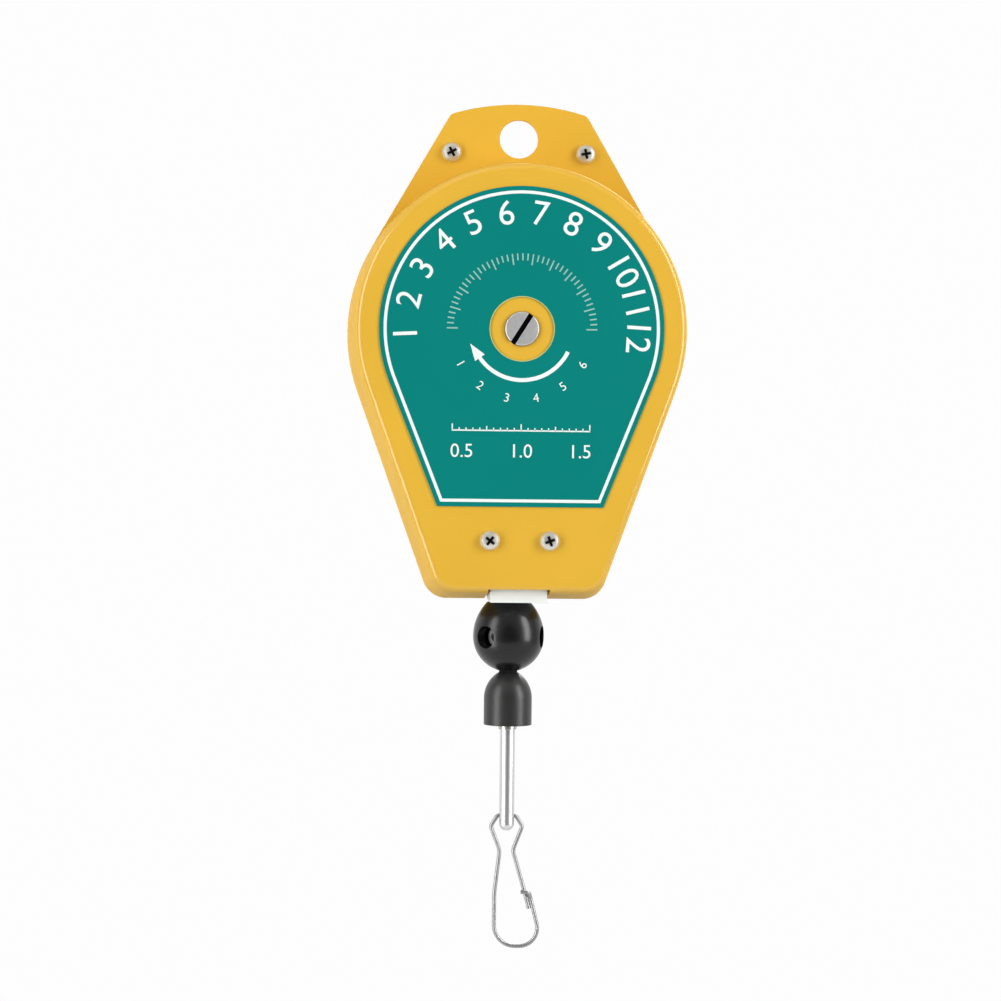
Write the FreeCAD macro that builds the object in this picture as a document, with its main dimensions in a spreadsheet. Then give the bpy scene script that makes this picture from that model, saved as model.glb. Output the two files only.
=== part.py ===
import FreeCAD, Part
import math
import os
import re
import Sketcher

# A light spring tool balancer, hung from the hole in its top flange.
#
# Millimetres. The origin is the centre of the hanging hole, on the joint plane between the front
# shell's flange and the back plate. X points to the right seen from the front, Y to the back and
# Z up. The cable drum, its spiral spring and the tension spindle share one axis along Y below the
# origin. The cable leaves straight down through the guide, to one side of the middle.

doc = FreeCAD.newDocument("ToolBalancer")
sheet = doc.addObject("Spreadsheet::Sheet", "Sizes")

SIZES = [
    # Casing
    ("hang_hole_rise", 8.0),
    ("body_radius", 51.0),
    ("upper_side_angle", 30.1),
    ("top_arc_margin", 17.5),
    ("top_arc_rise", 0.9),
    ("top_corner_radius", 3.0),
    ("lower_side_angle", 19.8),
    ("foot_drop", 28.4),
    ("bottom_corner_radius", 7.5),
    ("shell_depth", 26.0),
    ("shell_wall", 0.8),
    ("shell_draft", 2.8),
    ("front_edge_radius", 2.2),
    ("plate_wall", 1.0),
    ("hang_hole_radius", 5.8),
    ("notch_width", 18.0),
    # Label on the front
    ("label_rim", 9.5),
    ("label_side_angle", 21.6),
    ("label_foot_rise", 27.7),
    ("label_hole_radius", 9.25),
    ("label_thickness", 0.3),
    # Fasteners
    ("screw_radius", 1.45),
    ("screw_clearance", 0.15),
    ("screw_head_radius", 2.9),
    ("screw_head_height", 1.9),
    ("screw_end_spare", 0.8),
    ("nut_flats", 5.5),
    ("nut_height", 2.4),
    ("top_screw_spread", 20.2),
    ("top_screw_margin", 3.7),
    ("guide_screw_spread", 8.7),
    ("guide_screw_lift", 17.8),
    # Cable and its guide
    ("cable_radius", 0.75),
    ("cable_side", 2.3),
    ("cable_clearance", 0.1),
    ("guide_bend_radius", 9.0),
    ("guide_flare_angle", 50.0),
    ("guide_body_width", 27.0),
    ("guide_body_height", 13.0),
    ("guide_top_lift", 22.5),
    ("guide_neck_width", 16.6),
    ("guide_neck_room", 4.0),
    ("guide_reach", 0.3),
    # Cable drum
    ("drum_room", 6.0),
    ("flange_rise", 5.0),
    ("winding_pitch", 1.7),
    ("winding_turns", 5),
    ("groove_depth", 0.65),
    ("drum_flange_wall", 1.4),
    ("drum_rear_gap", 2.2),
    ("drum_web_wall", 2.0),
    ("drum_wall", 6.0),
    ("hub_radius", 9.0),
    ("hub_length", 5.0),
    ("hub_proud", 1.0),
    ("washer_room", 0.76),
    ("cover_hub_length", 3.5),
    ("bush_wall", 1.5),
    ("cover_wall", 1.2),
    ("cover_screw_radius", 1.0),
    ("cover_screw_inset", 3.4),
    ("cover_screw_length", 6.0),
    ("cable_stop_radius", 1.5),
    ("cable_stop_length", 3.4),
    # Power spring
    ("spring_strip", 0.4),
    ("spring_side_room", 1.24),
    ("spring_pitch", 3.2),
    ("spring_room_gap", 0.4),
    ("anchor_pin_radius", 0.9),
    # Spindle
    ("spindle_radius", 5.0),
    ("spindle_proud", 0.8),
    ("running_gap", 0.05),
    ("collar_length", 2.0),
    ("arbor_radius", 6.5),
    ("arbor_end_gap", 0.3),
    ("arbor_slot_width", 0.8),
    ("arbor_slot_depth", 4.0),
    ("driver_slot_width", 1.5),
    ("driver_slot_depth", 1.6),
    ("driver_slot_angle", 32.0),
    ("washer_radius", 8.0),
    ("washer_wall", 0.5),
    ("rear_bush_flange", 0.6),
    # Ratchet
    ("wheel_teeth", 12),
    ("wheel_tip_radius", 9.0),
    ("wheel_tooth_height", 1.3),
    ("wheel_wall", 2.5),
    ("wheel_gap", 0.2),
    ("wheel_seat_flats", 7.0),
    ("clip_wall", 0.8),
    ("clip_radius", 5.2),
    ("clip_groove_radius", 2.6),
    ("spindle_end_radius", 3.4),
    ("spindle_end_length", 1.0),
    ("spindle_edge", 0.3),
    ("pawl_wall", 2.0),
    ("pawl_pivot_side", 13.0),
    ("pawl_pivot_rise", 11.0),
    ("pawl_pivot_radius", 2.0),
    ("pawl_boss_radius", 4.0),
    ("pawl_nose_gap", 0.1),
    ("pawl_head_radius", 3.2),
    ("pawl_head_wall", 1.0),
    ("pawl_nose_height", 2.6),
    ("finger_tab_height", 5.5),
    ("rivet_radius", 1.6),
    ("tail_side", 22.0),
    ("tail_hole_radius", 0.55),
    ("post_rise", 25.0),
    ("post_radius", 1.5),
    ("tab_wall", 1.2),
    ("spring_stand_off", 1.2),
    ("pawl_spring_radius", 1.6),
    ("pawl_spring_wire", 0.4),
    # Ball stop
    ("ball_radius", 10.5),
    ("ball_top_gap", 0.2),
    ("ball_top_radius", 6.4),
    ("ball_top_height", 10.1),
    ("ball_foot_height", 10.6),
    ("ball_foot_radius", 2.7),
    ("sleeve_radius", 4.0),
    ("sleeve_bore", 0.85),
    ("sleeve_half_length", 5.5),
    ("stopper_hole_radius", 3.25),
    ("stopper_screw_radius", 1.5),
    ("stopper_head_radius", 2.7),
    ("stopper_head_height", 2.2),
    ("stopper_screw_angle", 45.0),
    # Bell cover and swivel
    ("bell_radius", 7.1),
    ("bell_height", 15.5),
    ("bell_dome", 7.7),
    ("barrel_radius", 5.3),
    ("barrel_cavity_radius", 3.9),
    ("barrel_height", 10.0),
    ("barrel_recess", 0.7),
    ("barrel_top_wall", 1.2),
    ("collar_flange_height", 2.2),
    ("collar_lip_radius", 2.7),
    ("collar_lip_length", 2.1),
    ("crimp_radius", 2.4),
    ("crimp_length", 3.6),
    ("shank_radius", 2.25),
    ("shank_head_radius", 3.5),
    ("shank_head_height", 2.0),
    ("shank_length", 34.3),
    ("shank_hole_rise", 4.4),
    ("shank_hole_radius", 0.85),
    # Hook
    ("wire_radius", 0.6),
    ("eye_half_width", 4.7),
    ("eye_top_half_width", 2.7),
    ("neck_half_width", 1.95),
    ("gate_gap", 0.1),
    ("eye_drop", 3.2),
    ("eye_top_radius", 1.4),
    ("eye_side_radius", 1.6),
    ("neck_drop", 10.3),
    ("neck_bend_radius", 5.0),
    ("bow_left", 3.45),
    ("bow_right", 10.9),
    ("bow_drop", 38.7),
    ("bow_shoulder_drop", 23.0),
    ("bow_shoulder_radius", 25.0),
    ("bow_left_radius", 6.3),
    ("bow_right_radius", 5.3),
    ("catch_side", 7.3),
    ("catch_drop", 24.4),
    ("catch_bend_radius", 0.9),
    ("fold_lean", 0.6),
    ("fold_rise", 1.9),
    ("fold_reach", 3.0),
    ("catch_clearance", 0.15),
    ("gate_bend_side", 5.7),
    ("gate_bend_drop", 23.2),
    ("gate_bend_radius", 12.0),
    ("gate_tip_side", 6.85),
    ("gate_tip_drop", 27.6),
]

ALIASES = {name for name, number in SIZES}
for row, (name, number) in enumerate(SIZES, start=1):
    sheet.set("A%d" % row, name)
    sheet.set("B%d" % row, str(number))
    sheet.setAlias("B%d" % row, name)
doc.recompute()

# Lengths that follow from the sizes above. Y and Z levels are measured from the joint plane and
# from the drum's axis.
TERMS = {
    "drum_axis_drop": "body_radius + hang_hole_rise",
    "bottom_drop": "body_radius + foot_drop",
    "top_arc_radius": "body_radius + top_arc_margin",
    "label_radius": "body_radius - label_rim",
    "label_drop": "bottom_drop - label_foot_rise",
    "top_screw_rise": "body_radius + top_screw_margin",
    "guide_screw_drop": "bottom_drop - guide_screw_lift",
    "guide_top_drop": "bottom_drop - guide_top_lift",
    "guide_neck_depth": "shell_depth - guide_neck_room",
    "notch_height": "shell_draft + shell_wall",
    "drum_flange_radius": "body_radius - drum_room",
    "winding_radius": "drum_flange_radius - flange_rise",
    "spring_room_radius": "winding_radius - drum_wall",
    "cover_screw_circle": "winding_radius - cover_screw_inset",
    "casing_room": ("shell_depth - shell_wall - collar_length - washer_room - cover_wall - drum_rear_gap"
                    " - 2 * drum_flange_wall"),
    "spare_grooves": "floor(casing_room / winding_pitch - winding_turns - 1.2)",
    "cable_depth": "drum_rear_gap + drum_flange_wall + (winding_turns + 0.6) * winding_pitch",
    "drum_front": "-cable_depth - (spare_grooves + 0.6) * winding_pitch - drum_flange_wall",
    "hub_inner_end": "-drum_rear_gap + hub_proud - hub_length",
    "cover_hub_face": "-shell_depth + shell_wall + collar_length + washer_room",
    "cover_hub_end": "cover_hub_face + cover_hub_length",
    "spring_width": "hub_inner_end - cover_hub_end - spring_side_room",
    "bush_bore": "spindle_radius + running_gap",
    "bush_outside": "spindle_radius + running_gap + bush_wall",
    "land_radius": "winding_radius - cable_radius - cable_clearance + groove_depth",
    "groove_floor": "winding_radius - cable_radius - cable_clearance",
    "flare_radius": "guide_bend_radius - cable_radius - cable_clearance",
    "bend_start": "-guide_top_drop - flare_radius * sin(guide_flare_angle)",
    "guide_foot": "-bottom_drop - guide_reach",
    "ball_top": "guide_foot - ball_top_gap",
    "ball_middle": "ball_top - ball_top_height",
    "bell_top": "ball_middle - ball_foot_height",
    "bell_foot": "bell_top - bell_height",
    "barrel_foot": "bell_foot + barrel_recess",
    "barrel_top": "barrel_foot + barrel_height",
    "collar_top": "barrel_foot + collar_flange_height",
    "crimp_top": "barrel_top - barrel_top_wall - cable_clearance",
    "shank_shoulder": "collar_top + cable_clearance",
    "shank_end": "shank_shoulder - shank_length",
    "hook_axis": "shank_end + shank_hole_rise",
    "seat_start": "plate_wall + running_gap",
    "wheel_front": "plate_wall + wheel_gap",
    "wheel_back": "wheel_front + wheel_wall",
    "root_radius": "wheel_tip_radius - wheel_tooth_height",
    "screw_hole": "screw_radius + screw_clearance",
}

NODES = {}


def formula(text):
    """Write a formula of size and term names as an expression of the sheet's cells."""
    def spell(word):
        name = word.group()
        if name in TERMS:
            return "(" + formula(TERMS[name]) + ")"
        return "Sizes." + name if name in ALIASES else name
    return re.sub(r"[a-z][a-z_]*[a-z]", spell, str(text))


def value(text):
    """Work out a formula of size names as a number."""
    found = sheet.evalExpression(formula(text))
    return float(found.Value) if hasattr(found, "Value") else float(found)


def bind(item, **formulas):
    """Tie properties of an object to formulas."""
    for name, text in formulas.items():
        item.setExpression(name, formula(text))


def place(item, x="0", y="0", z="0"):
    """Tie an object's position to three formulas."""
    for letter, text in zip("xyz", (x, y, z)):
        if text != "0":
            item.setExpression(".Placement.Base." + letter, formula(text))
    return item


def node(item, label):
    """Keep an object as a finished piece under its own name."""
    item.Label = label
    NODES[label] = item
    return item


def new_body(name):
    """Start a body of features."""
    return doc.addObject("PartDesign::Body", name)


def new_sketch(body, name, role="XZ_Plane", shift="0", aside="0", turn=0.0):
    """Attach a sketch to one of the body's own planes, moved along its normal and sideways."""
    sketch = body.newObject("Sketcher::SketchObject", name)
    sketch.AttachmentSupport = [(plane, "") for plane in body.Origin.OriginFeatures
                                if plane.Role == role]
    sketch.MapMode = "FlatFace"
    if turn:
        sketch.AttachmentOffset = FreeCAD.Placement(
            FreeCAD.Vector(), FreeCAD.Rotation(FreeCAD.Vector(0, 0, 1), turn))
    if shift != "0":
        sketch.setExpression(".AttachmentOffset.Base.z", formula(shift))
    if aside != "0":
        sketch.setExpression(".AttachmentOffset.Base.x", formula(aside))
    return sketch


def fix_point(sketch, edge, end, across, up):
    """Hold a point of a sketch at two formulas from its origin."""
    for kind, text in (("DistanceX", across), ("DistanceY", up)):
        number = sketch.addConstraint(Sketcher.Constraint(kind, -1, 1, edge, end, value(text)))
        sketch.setExpression("Constraints[%d]" % number, formula(text))


def draw(sketch, corners):
    """Draw a closed outline. A corner is (across, up), or (across, up, radius) where an arc leads on
    to the next corner, turning left for a positive radius and right for a negative one."""
    spots = [FreeCAD.Vector(value(corner[0]), value(corner[1]), 0) for corner in corners]
    edges = []
    for here, corner in enumerate(corners):
        start, end = spots[here], spots[(here + 1) % len(spots)]
        if len(corner) == 2:
            edges.append((sketch.addGeometry(Part.LineSegment(start, end), False), 1, 2))
            continue
        radius = value(corner[2])
        chord = end - start
        reach = math.sqrt(max(radius ** 2 - chord.Length ** 2 / 4, 0))
        left = FreeCAD.Vector(-chord.y, chord.x, 0).normalize()
        middle = (start + end) * 0.5 + left * (reach if radius > 0 else -reach)
        circle = Part.Circle(middle, FreeCAD.Vector(0, 0, 1), abs(radius))
        begin, finish = (start, end) if radius > 0 else (end, start)
        angles = [math.atan2(spot.y - middle.y, spot.x - middle.x) for spot in (begin, finish)]
        arc = sketch.addGeometry(Part.ArcOfCircle(circle, angles[0], angles[1]), False)
        edges.append((arc, 1, 2) if radius > 0 else (arc, 2, 1))
        number = sketch.addConstraint(Sketcher.Constraint("Radius", arc, abs(radius)))
        sign = "" if radius > 0 else "-1 * "
        sketch.setExpression("Constraints[%d]" % number, sign + "(" + formula(corner[2]) + ")")
    for here, (edge, first, last) in enumerate(edges):
        following, entry, unused = edges[(here + 1) % len(edges)]
        sketch.addConstraint(Sketcher.Constraint("Coincident", edge, last, following, entry))
        fix_point(sketch, edge, first, corners[here][0], corners[here][1])
    return sketch


def draw_circle(sketch, across, up, radius):
    """Draw a circle in a sketch."""
    circle = Part.Circle(FreeCAD.Vector(value(across), value(up), 0), FreeCAD.Vector(0, 0, 1),
                         value(radius))
    edge = sketch.addGeometry(circle, False)
    fix_point(sketch, edge, 3, across, up)
    number = sketch.addConstraint(Sketcher.Constraint("Radius", edge, value(radius)))
    sketch.setExpression("Constraints[%d]" % number, formula(radius))
    return sketch


def pad(body, sketch, length, backward=False):
    """Raise a sketch. One on the XZ plane rises to the front, or to the back when backward."""
    feature = body.newObject("PartDesign::Pad", body.Name + "Pad")
    feature.Profile = sketch
    feature.Reversed = backward
    bind(feature, Length=length)
    return feature


def cut_through(body, sketch):
    """Cut a sketch through everything, both ways."""
    feature = body.newObject("PartDesign::Pocket", body.Name + "Cut")
    feature.Profile = sketch
    feature.Type = 1
    feature.Midplane = True
    return feature


def cut_in(body, sketch, depth):
    """Cut a sketch on the XZ plane towards the back to a depth."""
    feature = body.newObject("PartDesign::Pocket", body.Name + "Recess")
    feature.Profile = sketch
    bind(feature, Length=depth)
    return feature


def turn(body, sketch, kind="PartDesign::Revolution"):
    """Turn a sketch about its own upright axis."""
    feature = body.newObject(kind, body.Name + "Turned")
    feature.Profile = sketch
    feature.ReferenceAxis = (sketch, ["V_Axis"])
    feature.Angle = 360
    return feature


def turned(name, corners, role="XY_Plane"):
    """Make a body by turning an outline: about Y from the XY plane, about Z from the XZ plane."""
    body = new_body(name)
    turn(body, draw(new_sketch(body, name + "Profile", role), corners))
    return body


def round_edges(body, base, radius, wanted):
    """Round the edges of the last feature that pass a test."""
    doc.recompute()
    names = ["Edge%d" % number for number, edge in enumerate(base.Shape.Edges, start=1) if wanted(edge)]
    feature = body.newObject("PartDesign::Fillet", body.Name + "Round")
    feature.Base = (base, names)
    bind(feature, Radius=radius)
    return feature


def on_drum_axis(body, y="0"):
    """Put a body whose levels are measured from the drum's axis in its place."""
    return place(body, y=y, z="-drum_axis_drop")


def on_cable_axis(body):
    """Put a body whose axis is the hanging cable's in its place."""
    return place(body, x="-cable_side", y="-cable_depth", z="-drum_axis_drop")


def group(label, members):
    """Keep several like solids as one node."""
    compound = doc.addObject("Part::Compound", label.title().replace("_", ""))
    compound.Links = members
    return node(compound, label)


def drum_outline(radius, side_angle, drop, inset="0"):
    """A round body whose lower sides run in to a flat foot, drawn from the foot's right corner."""
    arc = "(%s - %s)" % (radius, inset)
    foot = "(%s - %s)" % (drop, inset)
    foot_x = "(%s - %s * sin(%s)) / cos(%s)" % (arc, foot, side_angle, side_angle)
    side = ("%s * cos(%s)" % (arc, side_angle), "-%s * sin(%s)" % (arc, side_angle))
    return [(foot_x, "-" + foot), side + (arc,), ("0", arc, arc), ("-" + side[0], side[1]),
            ("-" + foot_x, "-" + foot)]


# The casing's outline: body circle, straight upper sides up to the top arc, lower sides to the foot.
TERMS["upper_tangent_x"] = "body_radius * cos(upper_side_angle)"
TERMS["upper_tangent_z"] = "body_radius * sin(upper_side_angle)"
TERMS["upper_run"] = ("top_arc_rise * cos(upper_side_angle) + sqrt(top_arc_radius ^ 2 - body_radius ^ 2"
                      " + 2 * top_arc_rise * upper_tangent_z - (top_arc_rise * sin(upper_side_angle)) ^ 2)")
TERMS["top_corner_x"] = "upper_tangent_x - upper_run * sin(upper_side_angle)"
TERMS["top_corner_z"] = "upper_tangent_z + upper_run * cos(upper_side_angle)"


def is_long_way(edge):
    """An edge that runs from the front to the back."""
    if len(edge.Vertexes) != 2:
        return False
    run = edge.Vertexes[1].Point - edge.Vertexes[0].Point
    return abs(run.y) > 2 * math.hypot(run.x, run.z)


def is_foot_corner(edge):
    """An upright of the casing's two lower corners."""
    low = value("-bottom_drop + 2 * shell_draft")
    return is_long_way(edge) and all(spot.Z < low and abs(spot.X) > value("notch_width") / 2 + 1
                                     for spot in edge.Vertexes)


def is_top_corner(edge):
    """An upright of the flange's two top corners."""
    return is_long_way(edge) and all(spot.Z > value("top_corner_z") - 1 for spot in edge.Vertexes)


def bowl(name, inset):
    """The bowl's drafted solid with its rounded foot corners and front edge, drawn in by an inset."""
    body = new_body(name)
    rim = draw(new_sketch(body, name + "Rim"),
               drum_outline("body_radius", "lower_side_angle", "bottom_drop", inset))
    face = draw(new_sketch(body, name + "Face", shift="shell_depth - " + inset),
                drum_outline("body_radius", "lower_side_angle", "bottom_drop",
                             "(shell_draft + %s)" % inset))
    loft = body.newObject("PartDesign::AdditiveLoft", name + "Loft")
    loft.Profile = rim
    loft.Sections = [face]
    loft.Ruled = True
    body.Tip = loft
    uprights = round_edges(body, loft, "bottom_corner_radius - " + inset, is_foot_corner)
    front = value("-shell_depth + " + inset)
    round_edges(body, uprights, "front_edge_radius - " + inset,
                lambda edge: all(abs(spot.Y - front) < 0.01 for spot in edge.Vertexes))
    return on_drum_axis(body)


def boolean(kind, name, **links):
    """A boolean of the Part workbench."""
    feature = doc.addObject(kind, name)
    for link, items in links.items():
        setattr(feature, link, items)
    return feature


# Front shell: one drawn steel sheet with a bowl for the drum and a flat flange above it. The hole
# for the spindle is drawn inwards as a short collar.
flange = new_body("Flange")
flange_outline = draw(new_sketch(flange, "FlangeOutline"), [
    ("upper_tangent_x", "upper_tangent_z"),
    ("top_corner_x", "top_corner_z", "top_arc_radius"),
    ("-top_corner_x", "top_corner_z"),
    ("-upper_tangent_x", "upper_tangent_z"),
    ("-(body_radius - shell_wall / 2) * cos(upper_side_angle)",
     "(body_radius - shell_wall / 2) * sin(upper_side_angle)", "-(body_radius - shell_wall / 2)"),
    ("(body_radius - shell_wall / 2) * cos(upper_side_angle)",
     "(body_radius - shell_wall / 2) * sin(upper_side_angle)"),
])
flange_pad = pad(flange, flange_outline, "shell_wall")
round_edges(flange, flange_pad, "top_corner_radius", is_top_corner)
collar = new_body("Collar")
collar_outline = new_sketch(collar, "CollarOutline", shift="shell_depth - shell_wall")
draw_circle(collar_outline, "0", "0", "bush_bore + shell_wall")
pad(collar, collar_outline, "collar_length", backward=True)
cuts = new_body("ShellCuts")
holes = new_sketch(cuts, "ShellHoles", shift="-1")
draw_circle(holes, "0", "drum_axis_drop", "hang_hole_radius")
draw_circle(holes, "0", "0", "bush_bore")
for side in ("", "-"):
    draw_circle(holes, side + "top_screw_spread", "top_screw_rise", "screw_hole")
    draw_circle(holes, side + "guide_screw_spread", "-guide_screw_drop", "screw_hole")
draw(holes, [
    ("notch_width / 2", "-bottom_drop - notch_height"), ("notch_width / 2", "-bottom_drop + notch_height"),
    ("-notch_width / 2", "-bottom_drop + notch_height"), ("-notch_width / 2", "-bottom_drop - notch_height")])
cuts.AllowCompound = True
pad(cuts, holes, "shell_depth + 2")
pressing = boolean("Part::Cut", "Pressing", Base=bowl("BowlOutside", "0"), Tool=bowl("BowlInside", "shell_wall"))
blank = boolean("Part::MultiFuse", "Blank", Shapes=[pressing, on_drum_axis(flange), on_drum_axis(collar)])
node(boolean("Part::Cut", "Shell", Base=blank, Tool=on_drum_axis(cuts)), "front_shell")

# Back plate: flat steel of the whole outline, notched at the foot like the shell.
plate = new_body("BackPlate")
outline = draw(new_sketch(plate, "PlateOutline"), [
    ("(body_radius - bottom_drop * sin(lower_side_angle)) / cos(lower_side_angle)", "-bottom_drop"),
    ("body_radius * cos(lower_side_angle)", "-body_radius * sin(lower_side_angle)", "body_radius"),
    ("upper_tangent_x", "upper_tangent_z"),
    ("top_corner_x", "top_corner_z", "top_arc_radius"),
    ("-top_corner_x", "top_corner_z"),
    ("-upper_tangent_x", "upper_tangent_z", "body_radius"),
    ("-body_radius * cos(lower_side_angle)", "-body_radius * sin(lower_side_angle)"),
    ("-(body_radius - bottom_drop * sin(lower_side_angle)) / cos(lower_side_angle)", "-bottom_drop"),
    ("-notch_width / 2", "-bottom_drop"), ("-notch_width / 2", "-bottom_drop + notch_height"),
    ("notch_width / 2", "-bottom_drop + notch_height"), ("notch_width / 2", "-bottom_drop"),
])
draw_circle(outline, "0", "drum_axis_drop", "hang_hole_radius")
draw_circle(outline, "0", "0", "bush_outside")
draw_circle(outline, "-pawl_pivot_side", "pawl_pivot_rise", "rivet_radius")
draw_circle(outline, "-tail_side", "post_rise", "rivet_radius")
for side in ("", "-"):
    draw_circle(outline, side + "top_screw_spread", "top_screw_rise", "screw_hole")
    draw_circle(outline, side + "guide_screw_spread", "-guide_screw_drop", "screw_hole")
plate_pad = pad(plate, outline, "plate_wall", backward=True)
plate_round = round_edges(plate, plate_pad, "bottom_corner_radius", is_foot_corner)
round_edges(plate, plate_round, "top_corner_radius", is_top_corner)
node(on_drum_axis(plate), "back_plate")

# Label: a printed metal foil on the front, with a round window for the spindle.
label = new_body("FrontLabel")
label_outline = draw(new_sketch(label, "LabelOutline", shift="shell_depth"),
                     drum_outline("label_radius", "label_side_angle", "label_drop"))
draw_circle(label_outline, "0", "0", "label_hole_radius")
pad(label, label_outline, "label_thickness")
node(on_drum_axis(label), "front_label")

# Cable guide: a white plastic block held by the two lower screws, with a neck through the notch and
# a trumpet mouth that the cable bends over on its way to the drum.
guide = new_body("CableGuide")
guide_block = draw(new_sketch(guide, "GuideBlock"), [
    ("guide_body_width / 2", "-guide_top_drop - guide_body_height"), ("guide_body_width / 2", "-guide_top_drop"),
    ("-guide_body_width / 2", "-guide_top_drop"), ("-guide_body_width / 2", "-guide_top_drop - guide_body_height")])
for side in ("", "-"):
    draw_circle(guide_block, side + "guide_screw_spread", "-guide_screw_drop", "screw_hole")
pad(guide, guide_block, "shell_depth - shell_wall")
TERMS["neck_top"] = "-guide_top_drop - guide_body_height + notch_height"
neck_shift = "(shell_depth - shell_wall - guide_neck_depth) / 2"
guide_neck = draw(new_sketch(guide, "GuideNeck", shift=neck_shift), [
    ("guide_neck_width / 2", "guide_foot"), ("guide_neck_width / 2", "neck_top"),
    ("-guide_neck_width / 2", "neck_top"), ("-guide_neck_width / 2", "guide_foot")])
pad(guide, guide_neck, "guide_neck_depth")
trumpet = draw(new_sketch(guide, "Trumpet", shift="cable_depth", aside="-cable_side"), [
    ("0", "guide_foot - 1"), ("guide_bend_radius - flare_radius", "guide_foot - 1"),
    ("guide_bend_radius - flare_radius", "bend_start", "-flare_radius"),
    ("guide_bend_radius - flare_radius * cos(guide_flare_angle)", "-guide_top_drop"),
    ("guide_bend_radius - flare_radius * cos(guide_flare_angle)", "-guide_top_drop + 1"),
    ("0", "-guide_top_drop + 1")])
turn(guide, trumpet, "PartDesign::Groove")
node(on_drum_axis(guide), "cable_guide")


def screw(name, length):
    """A pan head machine screw along Y: its seat is at Y 0 and its shank runs to the back."""
    dome = "screw_head_radius * 0.6"
    return turned(name, [
        ("0", "-screw_head_height"), (dome, "-screw_head_height", "screw_head_radius * 0.75"),
        ("screw_head_radius", "-screw_head_height * 0.35"), ("screw_head_radius", "0"),
        ("screw_radius", "0"), ("screw_radius", length), ("0", length)])


def nut(name):
    """A hexagon nut on the back plate, on the shank of a screw."""
    body = new_body(name)
    reach = "nut_flats / 2 / cos(30)"
    hexagon = [(reach + " * cos(%d)" % angle, reach + " * sin(%d)" % angle) for angle in range(0, 360, 60)]
    outline = draw(new_sketch(body, name + "Outline"), hexagon)
    draw_circle(outline, "0", "0", "screw_radius")
    pad(body, outline, "nut_height", backward=True)
    return body


# Screws and nuts: short ones clamp the flange, long ones run through the guide.
TERMS["nut_back"] = "plate_wall + nut_height + screw_end_spare"
top_screws, guide_screws, nuts = [], [], []
for side, sign in (("Left", "-"), ("Right", "")):
    spot = {"x": sign + "top_screw_spread", "z": "top_screw_rise - drum_axis_drop"}
    top_screws.append(place(screw("TopScrew" + side, "shell_wall + nut_back"), y="-shell_wall", **spot))
    nuts.append(place(nut("TopNut" + side), y="plate_wall", **spot))
    spot = {"x": sign + "guide_screw_spread", "z": "-guide_screw_drop - drum_axis_drop"}
    guide_screws.append(place(screw("GuideScrew" + side, "shell_depth + nut_back"), y="-shell_depth", **spot))
    nuts.append(place(nut("GuideNut" + side), y="plate_wall", **spot))
group("top_screws", top_screws)
group("guide_screws", guide_screws)
group("nuts", nuts)

# Cable drum: a moulded spool with a grooved rim, a room for the spring and a hub behind it.
groove_walls = []
for turn_number in range(int(value("winding_turns + spare_grooves")) + 1):
    middle = "(-cable_depth + (winding_turns - %d) * winding_pitch)" % turn_number
    groove_walls += [("land_radius", middle + " + 1.05 * cable_radius"),
                     ("groove_floor", middle + " + 0.55 * cable_radius"),
                     ("groove_floor", middle + " - 0.55 * cable_radius"),
                     ("land_radius", middle + " - 1.05 * cable_radius")]
drum = turned("CableDrum", [
    ("bush_outside", "-drum_rear_gap + hub_proud"), ("bush_outside", "hub_inner_end"),
    ("hub_radius", "hub_inner_end"), ("hub_radius", "-drum_rear_gap - drum_web_wall"),
    ("spring_room_radius", "-drum_rear_gap - drum_web_wall"), ("spring_room_radius", "drum_front"),
    ("drum_flange_radius", "drum_front"), ("drum_flange_radius", "drum_front + drum_flange_wall"),
    ("land_radius", "drum_front + drum_flange_wall")] + groove_walls[::-1] + [
    ("land_radius", "-drum_rear_gap - drum_flange_wall"),
    ("drum_flange_radius", "-drum_rear_gap - drum_flange_wall"), ("drum_flange_radius", "-drum_rear_gap"),
    ("hub_radius", "-drum_rear_gap"), ("hub_radius", "-drum_rear_gap + hub_proud")])
cover_screw_spots = [("cover_screw_circle * cos(%d)" % angle, "cover_screw_circle * sin(%d)" % angle)
                     for angle in (90, 210, 330)]
screw_wells = new_sketch(drum, "ScrewWells", shift="-drum_front")
for across, up in cover_screw_spots:
    draw_circle(screw_wells, across, up, "cover_screw_radius")
cut_in(drum, screw_wells, "cover_screw_length - cover_wall")
stop_well = new_sketch(drum, "StopWell", shift="drum_rear_gap + cable_stop_length")
draw_circle(stop_well, "cover_screw_circle * cos(30)", "cover_screw_circle * sin(30)", "cable_stop_radius")
cut_in(drum, stop_well, "cable_stop_length + hub_proud")
node(on_drum_axis(drum), "cable_drum")

# Drum cover: a disc that shuts the spring's room and carries the front hub.
cover = turned("DrumCover", [
    ("bush_outside", "cover_hub_face"), ("hub_radius", "cover_hub_face"),
    ("hub_radius", "drum_front - cover_wall"),
    ("cover_screw_circle + 2.4 * cover_screw_radius", "drum_front - cover_wall"),
    ("cover_screw_circle + 2.4 * cover_screw_radius", "drum_front"), ("hub_radius", "drum_front"),
    ("hub_radius", "cover_hub_end"), ("bush_outside", "cover_hub_end")])
cover_holes = new_sketch(cover, "CoverHoles")
for across, up in cover_screw_spots:
    draw_circle(cover_holes, across, up, "cover_screw_radius + screw_clearance")
cut_through(cover, cover_holes)
node(on_drum_axis(cover), "drum_cover")
cover_screws = []
for number, (across, up) in enumerate(cover_screw_spots, start=1):
    body = turned("CoverScrew%d" % number, [
        ("0", "-cover_wall"), ("cover_screw_radius * 1.9", "-cover_wall"), ("cover_screw_radius * 1.9", "0"),
        ("cover_screw_radius", "0"), ("cover_screw_radius", "cover_screw_length"),
        ("0", "cover_screw_length")])
    cover_screws.append(place(body, x=across, y="drum_front - cover_wall", z=up + " - drum_axis_drop"))
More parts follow.
